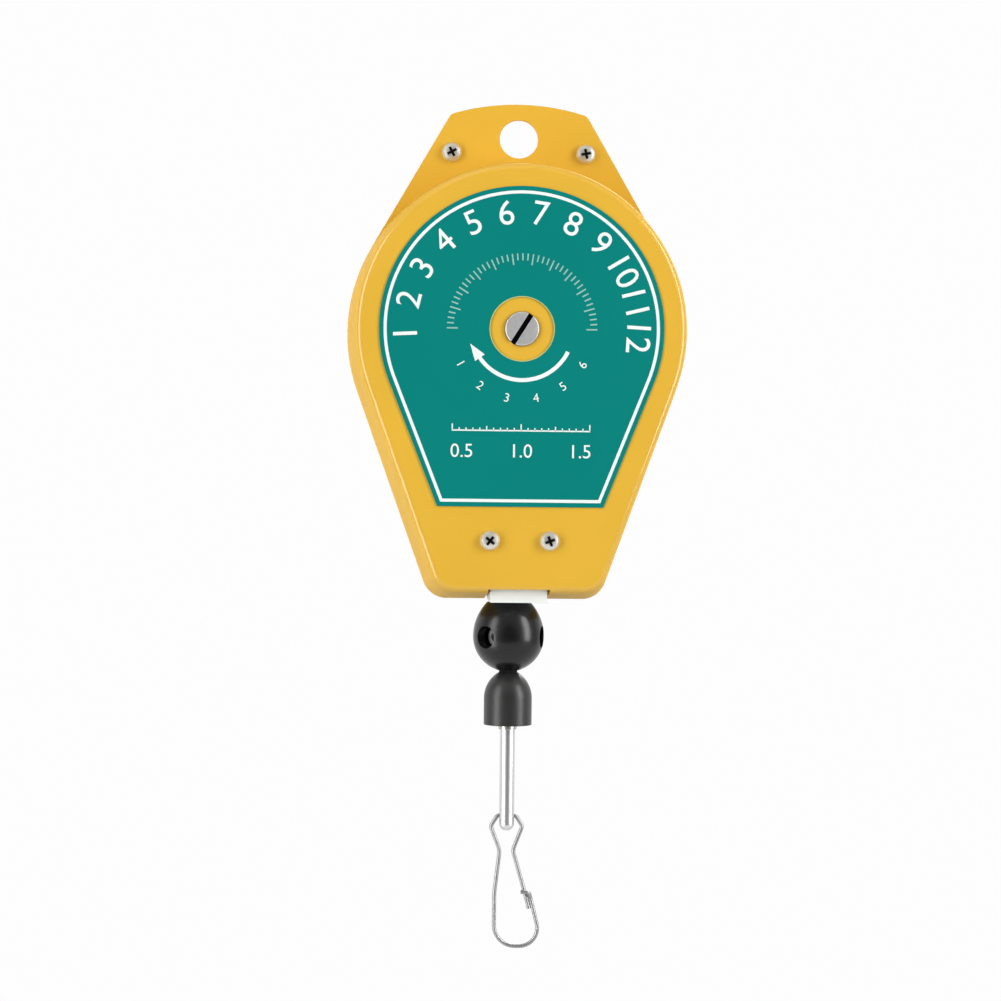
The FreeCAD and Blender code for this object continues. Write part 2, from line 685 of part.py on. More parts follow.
group("drum_cover_screws", cover_screws)


def ring(name, bore, outside, front, back):
    """A plain ring about the drum's axis between two levels along Y."""
    return on_drum_axis(turned(name, [(bore, front), (outside, front), (outside, back), (bore, back)]))


# Bushes and washers that the drum and the spindle turn on.
group("drum_bushes", [
    ring("RearDrumBush", "bush_bore", "bush_outside", "hub_inner_end", "-drum_rear_gap + hub_proud"),
    ring("FrontDrumBush", "bush_bore", "bush_outside", "cover_hub_face", "cover_hub_end")])
TERMS["rear_washer_back"] = "(-drum_rear_gap + hub_proud - rear_bush_flange + washer_wall) / 2"
TERMS["front_washer_back"] = "(cover_hub_face - shell_depth + shell_wall + collar_length + washer_wall) / 2"
group("thrust_washers", [
    ring("RearWasher", "bush_bore", "washer_radius", "rear_washer_back - washer_wall", "rear_washer_back"),
    ring("FrontWasher", "bush_bore", "washer_radius", "front_washer_back - washer_wall", "front_washer_back")])
rear_bush = turned("RearBush", [
    ("bush_bore", "-rear_bush_flange"), ("washer_radius", "-rear_bush_flange"), ("washer_radius", "0"),
    ("bush_outside", "0"), ("bush_outside", "plate_wall"), ("bush_bore", "plate_wall")])
node(on_drum_axis(rear_bush), "rear_bush")

# Windings: the outer shape of the turns that lie on the drum with the cable drawn in.
near_side, far_side = [], []
for turn_number in range(int(value("winding_turns"))):
    middle = "(-cable_depth + (winding_turns - %d) * winding_pitch)" % turn_number
    far_side += [("winding_radius", middle + " + 0.9 * cable_radius"),
                 ("winding_radius + cable_radius", middle + " + 0.4 * cable_radius"),
                 ("winding_radius + cable_radius", middle + " - 0.4 * cable_radius"),
                 ("winding_radius", middle + " - 0.9 * cable_radius")]
    near_side += [("winding_radius - cable_radius", middle + " + 0.4 * cable_radius"),
                  ("winding_radius - cable_radius", middle + " - 0.4 * cable_radius")]
    if turn_number < int(value("winding_turns")) - 1:
        near_side += [("winding_radius - cable_clearance", middle + " - 0.9 * cable_radius"),
                      ("winding_radius - cable_clearance",
                       middle + " - winding_pitch + 0.9 * cable_radius")]
windings = turned("CableWindings", near_side + far_side[::-1])
node(on_drum_axis(windings), "cable_windings")
cable_stop = ring("CableStop", "0", "cable_stop_radius", "-drum_rear_gap - cable_stop_length", "-drum_rear_gap")
place(cable_stop, x="cover_screw_circle * cos(30)", z="cover_screw_circle * sin(30) - drum_axis_drop")
node(cable_stop, "cable_anchor")

# Spindle: a steel shaft with a driver slot in front, an arbor for the spring and a square seat behind.
TERMS["arbor_front"] = "cover_hub_end + arbor_end_gap"
TERMS["arbor_back"] = "hub_inner_end - arbor_end_gap"
TERMS["spindle_front"] = "-shell_depth - spindle_proud"
TERMS["clip_front"] = "wheel_back + running_gap"
TERMS["clip_room"] = "clip_wall + 2 * running_gap"
spindle = turned("Spindle", [
    ("0", "spindle_front"), ("spindle_radius - spindle_edge", "spindle_front"),
    ("spindle_radius", "spindle_front + spindle_edge"),
    ("spindle_radius", "arbor_front"), ("arbor_radius", "arbor_front"), ("arbor_radius", "arbor_back"),
    ("spindle_radius", "arbor_back"), ("spindle_radius", "seat_start"),
    ("spindle_end_radius", "seat_start"), ("spindle_end_radius", "clip_front - running_gap"),
    ("clip_groove_radius", "clip_front - running_gap"),
    ("clip_groove_radius", "clip_front - running_gap + clip_room"),
    ("spindle_end_radius", "clip_front - running_gap + clip_room"),
    ("spindle_end_radius", "clip_front - running_gap + clip_room + spindle_end_length"),
    ("0", "clip_front - running_gap + clip_room + spindle_end_length")])
half_flats = "wheel_seat_flats / 2"
seat = draw(new_sketch(spindle, "WheelSeat", shift="-seat_start"), [
    (half_flats, "-" + half_flats), (half_flats, half_flats),
    ("-" + half_flats, half_flats), ("-" + half_flats, "-" + half_flats)])
pad(spindle, seat, "wheel_back - seat_start", backward=True)
driver_slot = new_sketch(spindle, "DriverSlot", shift="-spindle_front", turn=-value("driver_slot_angle"))
draw(driver_slot, [("driver_slot_width / 2", "-spindle_radius - 1"), ("driver_slot_width / 2", "spindle_radius + 1"),
                   ("-driver_slot_width / 2", "spindle_radius + 1"),
                   ("-driver_slot_width / 2", "-spindle_radius - 1")])
cut_in(spindle, driver_slot, "driver_slot_depth")
arbor_slot = draw(new_sketch(spindle, "ArborSlot", shift="-arbor_front"), [
    ("arbor_radius - arbor_slot_depth", "-arbor_slot_width / 2"), ("arbor_radius + 1", "-arbor_slot_width / 2"),
    ("arbor_radius + 1", "arbor_slot_width / 2"), ("arbor_radius - arbor_slot_depth", "arbor_slot_width / 2")])
cut_in(spindle, arbor_slot, "arbor_back - arbor_front")
node(on_drum_axis(spindle), "spindle")

# Ratchet wheel: a stamped steel wheel on the square seat. Each tooth's back climbs anticlockwise
# from root to tip, and its straight face stops the spindle from running back.
wheel = new_body("RatchetWheel")
wheel_disc = new_sketch(wheel, "WheelDisc", shift="-wheel_front")
draw_circle(wheel_disc, "0", "0", "root_radius")
pad(wheel, wheel_disc, "wheel_wall", backward=True)
tooth = draw(new_sketch(wheel, "Tooth", shift="-wheel_front"), [
    ("0", "root_radius", "(root_radius + wheel_tip_radius) / 2"),
    ("-wheel_tip_radius * sin(360 / wheel_teeth)", "wheel_tip_radius * cos(360 / wheel_teeth)"),
    ("-(root_radius - wheel_tooth_height) * sin(360 / wheel_teeth)",
     "(root_radius - wheel_tooth_height) * cos(360 / wheel_teeth)"),
    ("0", "root_radius - wheel_tooth_height")])
tooth_pad = pad(wheel, tooth, "wheel_wall", backward=True)
teeth = wheel.newObject("PartDesign::PolarPattern", "Teeth")
teeth.Originals = [tooth_pad]
teeth.Axis = (tooth, ["N_Axis"])
teeth.Angle = 360
bind(teeth, Occurrences="wheel_teeth")
wheel.Tip = teeth
square_hole = draw(new_sketch(wheel, "SquareHole"), [
    (half_flats, "-" + half_flats), (half_flats, half_flats),
    ("-" + half_flats, half_flats), ("-" + half_flats, "-" + half_flats)])
cut_through(wheel, square_hole)
node(on_drum_axis(wheel), "ratchet_wheel")

# Retaining clip: a split spring ring in the spindle's last groove.
clip = new_body("RetainingClip")
clip_outline = new_sketch(clip, "ClipOutline", shift="-clip_front")
draw_circle(clip_outline, "0", "0", "clip_radius")
draw_circle(clip_outline, "0", "0", "clip_groove_radius + running_gap")
pad(clip, clip_outline, "clip_wall", backward=True)
mouth = draw(new_sketch(clip, "ClipMouth"), [
    ("clip_groove_radius * 0.8", "-clip_radius - 1"), ("clip_groove_radius * 0.8", "0"),
    ("-clip_groove_radius * 0.8", "0"), ("-clip_groove_radius * 0.8", "-clip_radius - 1")])
cut_through(clip, mouth)
node(on_drum_axis(clip), "retaining_clip")

# Pawl: a stamped lever on the back plate. Its nose drops in front of a tooth's straight face, and
# its tail ends in a bent-up finger tab.
TERMS["pawl_front"] = "plate_wall + 2 * running_gap"
TERMS["nose_foot"] = "root_radius + wheel_tooth_height * 0.12"
pawl = new_body("Pawl")
arm = draw(new_sketch(pawl, "PawlArm", shift="-pawl_front"), [
    ("-pawl_nose_gap", "nose_foot"), ("-pawl_nose_gap", "nose_foot + pawl_nose_height"),
    ("-pawl_pivot_side + pawl_boss_radius * 1.6", "pawl_pivot_rise + pawl_boss_radius * 0.7"),
    ("-pawl_pivot_side", "pawl_pivot_rise + pawl_boss_radius"),
    ("-pawl_pivot_side", "pawl_pivot_rise - pawl_boss_radius"),
    ("-wheel_tip_radius * 0.65", "wheel_tip_radius + 0.2"),
    ("-2.2", "nose_foot + 0.75"), ("-0.9", "nose_foot + 0.2")])
pad(pawl, arm, "pawl_wall", backward=True)
boss = new_sketch(pawl, "PawlBoss", shift="-pawl_front")
draw_circle(boss, "-pawl_pivot_side", "pawl_pivot_rise", "pawl_boss_radius")
pad(pawl, boss, "pawl_wall", backward=True)
TERMS["tail_rise"] = "pawl_pivot_rise + 1.5"
TERMS["tail_end"] = "tail_side + tab_wall / 2"
TERMS["tail_edge"] = "3 * tail_hole_radius"
tail = draw(new_sketch(pawl, "PawlTail", shift="-pawl_front"), [
    ("-pawl_pivot_side - pawl_boss_radius / 2", "pawl_pivot_rise - pawl_boss_radius * 0.85"),
    ("-pawl_pivot_side - pawl_boss_radius / 2", "pawl_pivot_rise + pawl_boss_radius * 0.85"),
    ("-tail_end", "tail_rise + tail_edge"), ("-tail_end", "tail_rise - tail_edge")])
pad(pawl, tail, "pawl_wall", backward=True)
tab = draw(new_sketch(pawl, "FingerTab", shift="-pawl_front"), [
    ("-tail_end + tab_wall", "tail_rise - tail_edge"), ("-tail_end + tab_wall", "tail_rise + tail_edge"),
    ("-tail_end", "tail_rise + tail_edge"), ("-tail_end", "tail_rise - tail_edge")])
pad(pawl, tab, "finger_tab_height", backward=True)
pawl_holes = new_sketch(pawl, "PawlHoles")
draw_circle(pawl_holes, "-pawl_pivot_side", "pawl_pivot_rise", "pawl_pivot_radius + running_gap")
cut_through(pawl, pawl_holes)
on_drum_axis(pawl)
TERMS["spring_level"] = "pawl_front + pawl_wall + spring_stand_off"
TERMS["tail_eye"] = "tab_wall / 2 + 3 * pawl_spring_wire / 2"
TERMS["tail_eye_rise"] = "tail_rise + tail_edge - 0.3"
spring_hole = doc.addObject("Part::Cylinder", "SpringHole")
bind(spring_hole, Radius="tail_hole_radius", Height="2 * tab_wall")
spring_hole.Placement = FreeCAD.Placement(FreeCAD.Vector(),
                                          FreeCAD.Rotation(FreeCAD.Vector(0, 1, 0), 90))
place(spring_hole, x="-tail_side - tab_wall", y="spring_level",
      z="tail_eye_rise - tail_eye - drum_axis_drop")
node(boolean("Part::Cut", "DrilledPawl", Base=pawl, Tool=spring_hole), "pawl")

# Pawl pivot and spring post: shouldered rivets in the back plate.
pivot = turned("PawlPivot", [
    ("0", "0"), ("rivet_radius", "0"), ("rivet_radius", "plate_wall"), ("pawl_pivot_radius", "plate_wall"),
    ("pawl_pivot_radius", "pawl_front + pawl_wall + 2 * running_gap"),
    ("pawl_head_radius", "pawl_front + pawl_wall + 2 * running_gap"),
    ("pawl_head_radius", "pawl_front + pawl_wall + 2 * running_gap + pawl_head_wall"),
    ("0", "pawl_front + pawl_wall + 2 * running_gap + pawl_head_wall")])
node(place(pivot, x="-pawl_pivot_side", z="pawl_pivot_rise - drum_axis_drop"), "pawl_pivot")
post = turned("SpringPost", [
    ("0", "0"), ("rivet_radius", "0"), ("rivet_radius", "plate_wall"), ("post_radius", "plate_wall"),
    ("post_radius", "spring_level - 2 * pawl_spring_wire"),
    ("post_radius * 0.7", "spring_level - 2 * pawl_spring_wire"),
    ("post_radius * 0.7", "spring_level + 2 * pawl_spring_wire"),
    ("post_radius", "spring_level + 2 * pawl_spring_wire"),
    ("post_radius", "spring_level + 2 * pawl_spring_wire + pawl_head_wall"),
    ("0", "spring_level + 2 * pawl_spring_wire + pawl_head_wall")])
node(place(post, x="-tail_side", z="post_rise - drum_axis_drop"), "spring_post")

# Pawl spring: a closed coil between the pawl's tail and the post, with an eye at each end.
TERMS["post_eye"] = "post_radius * 0.7 + pawl_spring_wire"
TERMS["coil_foot"] = "tail_eye_rise + tail_eye + pawl_spring_wire / 4"
TERMS["coil_top"] = "post_rise - post_eye - pawl_spring_wire / 4"
coil_side = [("0", "coil_foot")]
coil_rings = 9
for ring_number in range(coil_rings):
    start = "coil_foot + (coil_top - coil_foot) * %d / %d" % (2 * ring_number, 2 * coil_rings)
    crest = "coil_foot + (coil_top - coil_foot) * %d / %d" % (2 * ring_number + 1, 2 * coil_rings)
    coil_side += [("pawl_spring_radius - pawl_spring_wire / 2", start), ("pawl_spring_radius", crest)]
coil_side += [("pawl_spring_radius - pawl_spring_wire / 2", "coil_top"), ("0", "coil_top")]
coil = turned("SpringCoil", coil_side, role="XZ_Plane")
place(coil, x="-tail_side", y="spring_level", z="-drum_axis_drop")


def eye(name, radius, z):
    """A closed wire loop about a front-to-back axis on the spring's line."""
    loop = doc.addObject("Part::Torus", name)
    bind(loop, Radius1=radius, Radius2="pawl_spring_wire / 2")
    loop.Placement = FreeCAD.Placement(FreeCAD.Vector(), FreeCAD.Rotation(FreeCAD.Vector(1, 0, 0), 90))
    return place(loop, x="-tail_side", y="spring_level", z=z + " - drum_axis_drop")


tail_loop = eye("TailEye", "tail_eye", "tail_eye_rise")
post_loop = eye("PostEye", "post_eye", "post_rise")
node(boolean("Part::MultiFuse", "Spring", Shapes=[coil, tail_loop, post_loop]), "pawl_spring")

# Power spring: a flat steel strip wound in half circles about two centres, from just clear of the
# arbor out to the drum's wall, where its end curls round the anchor pin.
half_turns = 2 * round((value("spring_room_radius") - value("arbor_radius")) / value("spring_pitch"))
first = value("arbor_radius + arbor_end_gap + spring_strip / 2")
last = value("spring_room_radius - spring_room_gap - spring_strip / 2")
offset = (last - first) / (2 * half_turns)
half_strip = value("spring_strip") / 2
curl_radius = value("anchor_pin_radius + spring_strip / 2") + 0.1
curl_end = math.radians(250)


def spring_arc(centre_x, radius, start, end):
    """An arc of the strip's edge between two angles."""
    spots = [FreeCAD.Vector(centre_x + radius * math.cos(angle), 0, radius * math.sin(angle))
             for angle in (start, (start + end) / 2, end)]
    return Part.Arc(*spots).toShape()


strip_edges = []
for side in (half_strip, -half_strip):
    run = []
    for half in range(half_turns):
        centre = offset if half % 2 else -offset
        begin = math.pi * (half % 2)
        run.append(spring_arc(centre, first + offset * (1 + 2 * half) + side, begin, begin + math.pi))
    run.append(spring_arc(last - curl_radius, curl_radius + side, 0, curl_end))
    strip_edges.append(run)
outer_run, inner_run = strip_edges
start_line = Part.LineSegment(inner_run[0].Vertexes[0].Point, outer_run[0].Vertexes[0].Point).toShape()
end_line = Part.LineSegment(inner_run[-1].Vertexes[-1].Point, outer_run[-1].Vertexes[-1].Point).toShape()
strip = Part.Face(Part.Wire(Part.__sortEdges__(outer_run + inner_run + [start_line, end_line])))
power_spring = doc.addObject("Part::Feature", "PowerSpring")
power_spring.Shape = strip.extrude(FreeCAD.Vector(0, value("spring_width"), 0))
TERMS["spring_front"] = "(cover_hub_end + hub_inner_end - spring_width) / 2"
node(place(power_spring, y="spring_front", z="-drum_axis_drop"), "power_spring")
TERMS["anchor_x"] = ("spring_room_radius - spring_room_gap - spring_strip - anchor_pin_radius"
                     " - cable_clearance")
anchor = ring("SpringAnchor", "0", "anchor_pin_radius", "drum_front", "-drum_rear_gap - drum_web_wall")
node(place(anchor, x="anchor_x"), "spring_anchor")

# Cable: from the drum down to the guide's mouth, round the mouth and straight down its bore. Its
# lead leaves the drum in the first empty groove beside the windings.
bend_x = value("-cable_side - guide_bend_radius")
bend_z = value("bend_start")
reach = math.hypot(bend_x, bend_z)
wrap = value("winding_radius + guide_bend_radius")
slant = math.asin(wrap / reach) - math.atan2(-bend_x, -bend_z)


def cable_point(centre_x, centre_z, radius, angle):
    """A point of the cable's middle line at an angle round a bend."""
    return FreeCAD.Vector(centre_x + radius * math.cos(angle), 0, centre_z + radius * math.sin(angle))


bend_radius = value("guide_bend_radius")
on_drum = cable_point(0, 0, -value("winding_radius"), slant)
mouth_start = cable_point(bend_x, bend_z, bend_radius, 0)
mouth_middle = cable_point(bend_x, bend_z, bend_radius, slant / 2)
mouth_end = cable_point(bend_x, bend_z, bend_radius, slant)
lead_path = Part.Wire([Part.Arc(mouth_start, mouth_middle, mouth_end).toShape(),
                       Part.LineSegment(mouth_end, on_drum).toShape()])
lead_end = Part.Wire(Part.Circle(mouth_start, FreeCAD.Vector(0, 0, 1), value("cable_radius")).toShape())
cable_lead = doc.addObject("Part::Feature", "CableLead")
cable_lead.Shape = lead_path.makePipeShell([lead_end], True, False)
node(place(cable_lead, y="-cable_depth", z="-drum_axis_drop"), "cable_lead")
lead_volume = math.pi * value("cable_radius") ** 2 * lead_path.Length
print("cable lead: bend radius %.1f, volume %.2f, section times length %.2f"
      % (bend_radius, cable_lead.Shape.Volume, lead_volume))


def tube(name, bore, outside, low, high):
    """A plain tube or rod about the hanging cable's axis between two levels."""
    return on_cable_axis(turned(name, [(bore, low), (outside, low), (outside, high), (bore, high)],
                                role="XZ_Plane"))


TERMS["tail_end_level"] = "crimp_top - crimp_length"
node(tube("CableDrop", "0", "cable_radius", "ball_top", "bend_start"), "cable_drop")
node(tube("CableTail", "0", "cable_radius", "tail_end_level", "ball_top"), "cable_tail")


def radial_rod(name, radius, near, far, angle):
    """A round rod that points away from the cable's axis at the ball's middle."""
    rod = doc.addObject("Part::Cylinder", name)
    bind(rod, Radius=radius, Height="(%s) - (%s)" % (far, near))
    rod.Placement = FreeCAD.Placement(FreeCAD.Vector(), FreeCAD.Rotation(FreeCAD.Vector(0, 0, 1), angle)
                                      .multiply(FreeCAD.Rotation(FreeCAD.Vector(0, 1, 0), 90)))
    return place(rod, x="-cable_side + (%s) * cos(%g)" % (near, angle),
                 y="-cable_depth + (%s) * sin(%g)" % (near, angle), z="ball_middle - drum_axis_drop")


# Ball stop: a moulded ball round a steel sleeve. Three screws in deep radial holes clamp the sleeve
# to the cable, and set how far the cable can be drawn in.
TERMS["ball_shoulder"] = ("((ball_radius - ball_top_radius) ^ 2 + ball_top_height ^ 2)"
                          " / (2 * (ball_radius - ball_top_radius))")
TERMS["ball_bottom"] = "ball_middle - sqrt(ball_radius ^ 2 - ball_foot_radius ^ 2)"
ball = on_cable_axis(turned("Ball", [
    ("sleeve_bore", "ball_top"), ("sleeve_bore", "ball_middle + sleeve_half_length"),
    ("sleeve_radius", "ball_middle + sleeve_half_length"),
    ("sleeve_radius", "ball_middle - sleeve_half_length"),
    ("sleeve_bore", "ball_middle - sleeve_half_length"), ("sleeve_bore", "bell_top"),
    ("ball_foot_radius", "bell_top"), ("ball_foot_radius", "ball_bottom", "ball_radius"),
    ("ball_radius", "ball_middle", "ball_shoulder"), ("ball_top_radius", "ball_top")], role="XZ_Plane"))
sleeve = tube("Sleeve", "sleeve_bore", "sleeve_radius", "ball_middle - sleeve_half_length",
              "ball_middle + sleeve_half_length")
ball_holes, sleeve_holes, stopper_screws = [], [], []
for number in range(3):
    angle = -90 - value("stopper_screw_angle") + 120 * number
    ball_holes.append(radial_rod("BallHole%d" % number, "stopper_hole_radius", "sleeve_radius - 0.5",
                                 "ball_radius + 1", angle))
    sleeve_holes.append(radial_rod("SleeveHole%d" % number, "stopper_screw_radius", "0",
                                   "sleeve_radius + 1", angle))
    stopper_screws.append(boolean("Part::Fuse", "StopperScrew%d" % number,
                                  Base=radial_rod("StopperShank%d" % number, "stopper_screw_radius",
                                                  "cable_radius + running_gap", "sleeve_radius + 0.5", angle),
                                  Tool=radial_rod("StopperHead%d" % number, "stopper_head_radius",
                                                  "sleeve_radius", "sleeve_radius + stopper_head_height",
                                                  angle)))
ball_tool = boolean("Part::MultiFuse", "BallHoles", Shapes=ball_holes)
sleeve_tool = boolean("Part::MultiFuse", "SleeveHoles", Shapes=sleeve_holes)
bored_ball = boolean("Part::Cut", "BoredBall", Base=ball, Tool=ball_tool)
node(boolean("Part::Cut", "BallStopper", Base=bored_ball,
             Tool=tube("SleeveRoom", "0", "sleeve_radius", "ball_middle - sleeve_half_length",
                       "ball_middle + sleeve_half_length")), "ball_stopper")
node(boolean("Part::Cut", "StopperSleeve", Base=sleeve, Tool=sleeve_tool), "stopper_sleeve")
group("stopper_screws", stopper_screws)

# Bell cover: a moulded cap over the swivel, with a domed top.
TERMS["bell_shoulder"] = ("((bell_radius - ball_foot_radius) ^ 2 + bell_dome ^ 2)"
                          " / (2 * (bell_radius - ball_foot_radius))")
node(on_cable_axis(turned("BellCover", [
    ("barrel_radius", "bell_foot"), ("bell_radius", "bell_foot"),
    ("bell_radius", "bell_top - bell_dome", "bell_shoulder"), ("ball_foot_radius", "bell_top"),
    ("sleeve_bore", "bell_top"), ("sleeve_bore", "barrel_top"), ("barrel_radius", "barrel_top")],
    role="XZ_Plane")), "bell_cover")

# Swivel: a steel barrel on the cable's end. The crimp keeps the cable in it, and a collar pressed
# into its mouth keeps the shank's head in.
node(on_cable_axis(turned("SwivelBarrel", [
    ("barrel_cavity_radius", "barrel_foot"), ("barrel_radius", "barrel_foot"),
    ("barrel_radius", "barrel_top"), ("sleeve_bore", "barrel_top"),
    ("sleeve_bore", "barrel_top - barrel_top_wall"),
    ("barrel_cavity_radius", "barrel_top - barrel_top_wall")], role="XZ_Plane")), "swivel_barrel")
node(on_cable_axis(turned("SwivelCollar", [
    ("shank_radius + running_gap", "barrel_foot - collar_lip_length"),
    ("collar_lip_radius", "barrel_foot - collar_lip_length"), ("collar_lip_radius", "barrel_foot"),
    ("barrel_cavity_radius", "barrel_foot"), ("barrel_cavity_radius", "collar_top"),
    ("shank_radius + running_gap", "collar_top")], role="XZ_Plane")), "swivel_collar")
node(tube("CableCrimp", "cable_radius", "crimp_radius", "tail_end_level", "crimp_top"), "cable_crimp")

# Swivel shank: a headed round bar with a rounded end and a cross hole for the hook's wire.
shank = on_cable_axis(turned("ShankBar", [
    ("0", "shank_end"), ("shank_radius * 0.4", "shank_end", "shank_radius * 1.1"),
    ("shank_radius", "shank_end + shank_radius * 0.8"), ("shank_radius", "shank_shoulder"),
    ("shank_head_radius", "shank_shoulder"), ("shank_head_radius", "shank_shoulder + shank_head_height"),
    ("0", "shank_shoulder + shank_head_height")], role="XZ_Plane"))
cross_hole = doc.addObject("Part::Cylinder", "CrossHole")
bind(cross_hole, Radius="shank_hole_radius", Height="4 * shank_radius")
cross_hole.Placement = FreeCAD.Placement(FreeCAD.Vector(),
                                         FreeCAD.Rotation(FreeCAD.Vector(0, 1, 0), 90))
place(cross_hole, x="-cable_side - 2 * shank_radius", y="-cable_depth", z="hook_axis - drum_axis_drop")
node(boolean("Part::Cut", "SwivelShank", Base=shank, Tool=cross_hole), "swivel_shank")


def wire_path(points):
    """Straight runs joined by tangent arcs. A point is (place, radius of its bend)."""
    edges = []
    here = points[0][0]
    for (corner, radius), (following, unused) in zip(points[1:-1], points[2:]):
        inward = (here - corner).normalize()
        onward = (following - corner).normalize()
        half_opening = inward.getAngle(onward) / 2
        trim = radius / math.tan(half_opening)
        begin, finish = corner + inward * trim, corner + onward * trim
        middle = corner + (inward + onward).normalize() * (radius / math.sin(half_opening) - radius)
        edges.append(Part.LineSegment(here, begin).toShape())
        edges.append(Part.Arc(begin, middle, finish).toShape())
        here = finish
    edges.append(Part.LineSegment(here, points[-1][0]).toShape())
    return Part.Wire(edges)


def wire_piece(name, points, label):
    """A round wire along a path drawn from the cross hole's middle."""
    path = wire_path(points)
    start = points[0][0]
    ring_wire = Part.Wire(Part.Circle(start, points[1][0] - start, value("wire_radius")).toShape())
    piece = doc.addObject("Part::Feature", name)
    piece.Shape = path.makePipeShell([ring_wire], True, False)
    print("%s: volume %.2f, section times length %.2f"
          % (label, piece.Shape.Volume, math.pi * value("wire_radius") ** 2 * path.Length))
    place(piece, x="-cable_side", y="-cable_depth", z="hook_axis - drum_axis_drop")
    return piece


def spot(across, up, out=0.0):
    """A point of the hook from the cross hole's middle: to the right, up and towards the back."""
    return FreeCAD.Vector(across, out, up)


# Hook: one bent spring wire, made as two pieces that meet at the neck. Its eye runs through the
# shank's cross hole, its bow is a pear, and the end of the bow's arm folds across the gate.
eye_half = value("eye_half_width")
eye_top_half = value("eye_top_half_width")
neck_half = value("neck_half_width")
neck_drop = value("neck_drop")
bow_left = -value("bow_left")
bow_foot = -value("bow_drop")
bow_right = value("bow_right")
catch_x, catch_z = value("catch_side"), -value("catch_drop")
fold_out = -value("2 * wire_radius + catch_clearance")
fold_lean, fold_rise, fold_reach = value("fold_lean"), value("fold_rise"), value("fold_reach")
neck = spot(neck_half, -neck_drop)
eye_low = spot(eye_half, -value("eye_drop"))
away = (eye_low - neck).normalize()
hook = wire_piece("Hook", [
    (neck + away * value("wire_radius + gate_gap"), 0),
    (eye_low, value("eye_side_radius")),
    (spot(eye_top_half, 0), value("eye_top_radius")),
    (spot(-eye_top_half, 0), value("eye_top_radius")),
    (spot(-eye_half, -value("eye_drop")), value("eye_side_radius")),
    (spot(-neck_half, -neck_drop), value("neck_bend_radius")),
    (spot(bow_left, -value("bow_shoulder_drop")), value("bow_shoulder_radius")),
    (spot(bow_left, bow_foot), value("bow_left_radius")),
    (spot(bow_right, bow_foot), value("bow_right_radius")),
    (spot(catch_x, catch_z), value("catch_bend_radius")),
    (spot(catch_x - fold_lean, catch_z + fold_rise, fold_out), value("catch_bend_radius")),
    (spot(catch_x - fold_reach, catch_z + fold_rise, fold_out), 0)], "hook")
node(hook, "hook")

# Gate: the wire's other end, which springs against the inside of the bow's arm.
gate_wire = wire_piece("GateWire", [
    (neck, 0),
    (spot(value("gate_bend_side"), -value("gate_bend_drop")), value("gate_bend_radius")),
    (spot(value("gate_tip_side"), -value("gate_tip_drop")), 0)], "gate")
gate_knuckle = doc.addObject("Part::Sphere", "GateKnuckle")
bind(gate_knuckle, Radius="wire_radius")
place(gate_knuckle, x="-cable_side + neck_half_width", y="-cable_depth",
      z="hook_axis - neck_drop - drum_axis_drop")
node(boolean("Part::Fuse", "HookGate", Base=gate_wire, Tool=gate_knuckle), "hook_gate")

doc.recompute()
failed = [item.Label for item in doc.Objects if {"Invalid", "Error"} & set(item.State)]
failed += [label for label, item in NODES.items() if item.Shape.isNull() or not item.Shape.isValid()]
if failed:
    raise RuntimeError("these did not build: " + ", ".join(sorted(set(failed))))
os.makedirs("parts", exist_ok=True)
for label, item in NODES.items():
    item.Shape.exportStep("parts/%s.step" % label)
    print("%-20s solids %d  volume %9.1f mm3" % (label, len(item.Shape.Solids), item.Shape.Volume))
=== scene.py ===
"""Tool balancer: the finished look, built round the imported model."""
import math

import bmesh
import bpy
from mathutils import Matrix, Vector


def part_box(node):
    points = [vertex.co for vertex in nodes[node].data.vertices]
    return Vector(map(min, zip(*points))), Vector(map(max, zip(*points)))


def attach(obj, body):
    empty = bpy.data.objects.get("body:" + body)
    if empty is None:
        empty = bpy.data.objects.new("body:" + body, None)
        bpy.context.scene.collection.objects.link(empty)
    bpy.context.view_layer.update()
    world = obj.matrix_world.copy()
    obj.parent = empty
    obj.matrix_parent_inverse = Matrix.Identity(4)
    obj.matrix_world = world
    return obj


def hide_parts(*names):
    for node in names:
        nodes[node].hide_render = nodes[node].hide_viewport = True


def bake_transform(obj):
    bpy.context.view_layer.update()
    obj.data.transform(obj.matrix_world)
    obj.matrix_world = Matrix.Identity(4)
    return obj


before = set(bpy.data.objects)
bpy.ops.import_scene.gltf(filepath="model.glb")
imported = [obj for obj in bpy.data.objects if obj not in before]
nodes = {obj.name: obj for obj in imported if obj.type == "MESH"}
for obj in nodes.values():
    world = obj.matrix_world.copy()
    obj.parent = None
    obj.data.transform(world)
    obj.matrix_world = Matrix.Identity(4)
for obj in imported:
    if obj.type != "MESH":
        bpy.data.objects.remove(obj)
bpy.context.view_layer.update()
MM = 0.001

# ---------------------------------------------------------------------------------------------
# Casing. A drawn sheet-steel bowl with a flange, and the flat back plate behind it, both in a
# thick satin enamel. The enamel has a faint orange peel and is a little uneven in colour.


def new_finish(name, colour, roughness, metallic=0.0, **sockets):
    """A material with its Principled shader and the object's own coordinates."""
    finish = bpy.data.materials.new(name)
    finish.use_nodes = True
    tree = finish.node_tree
    shader = tree.nodes["Principled BSDF"]
    shader.inputs["Base Color"].default_value = (*colour, 1.0)
    shader.inputs["Roughness"].default_value = roughness
    shader.inputs["Metallic"].default_value = metallic
    for socket, amount in sockets.items():
        shader.inputs[socket.replace("_", " ")].default_value = amount
    return finish, tree, shader


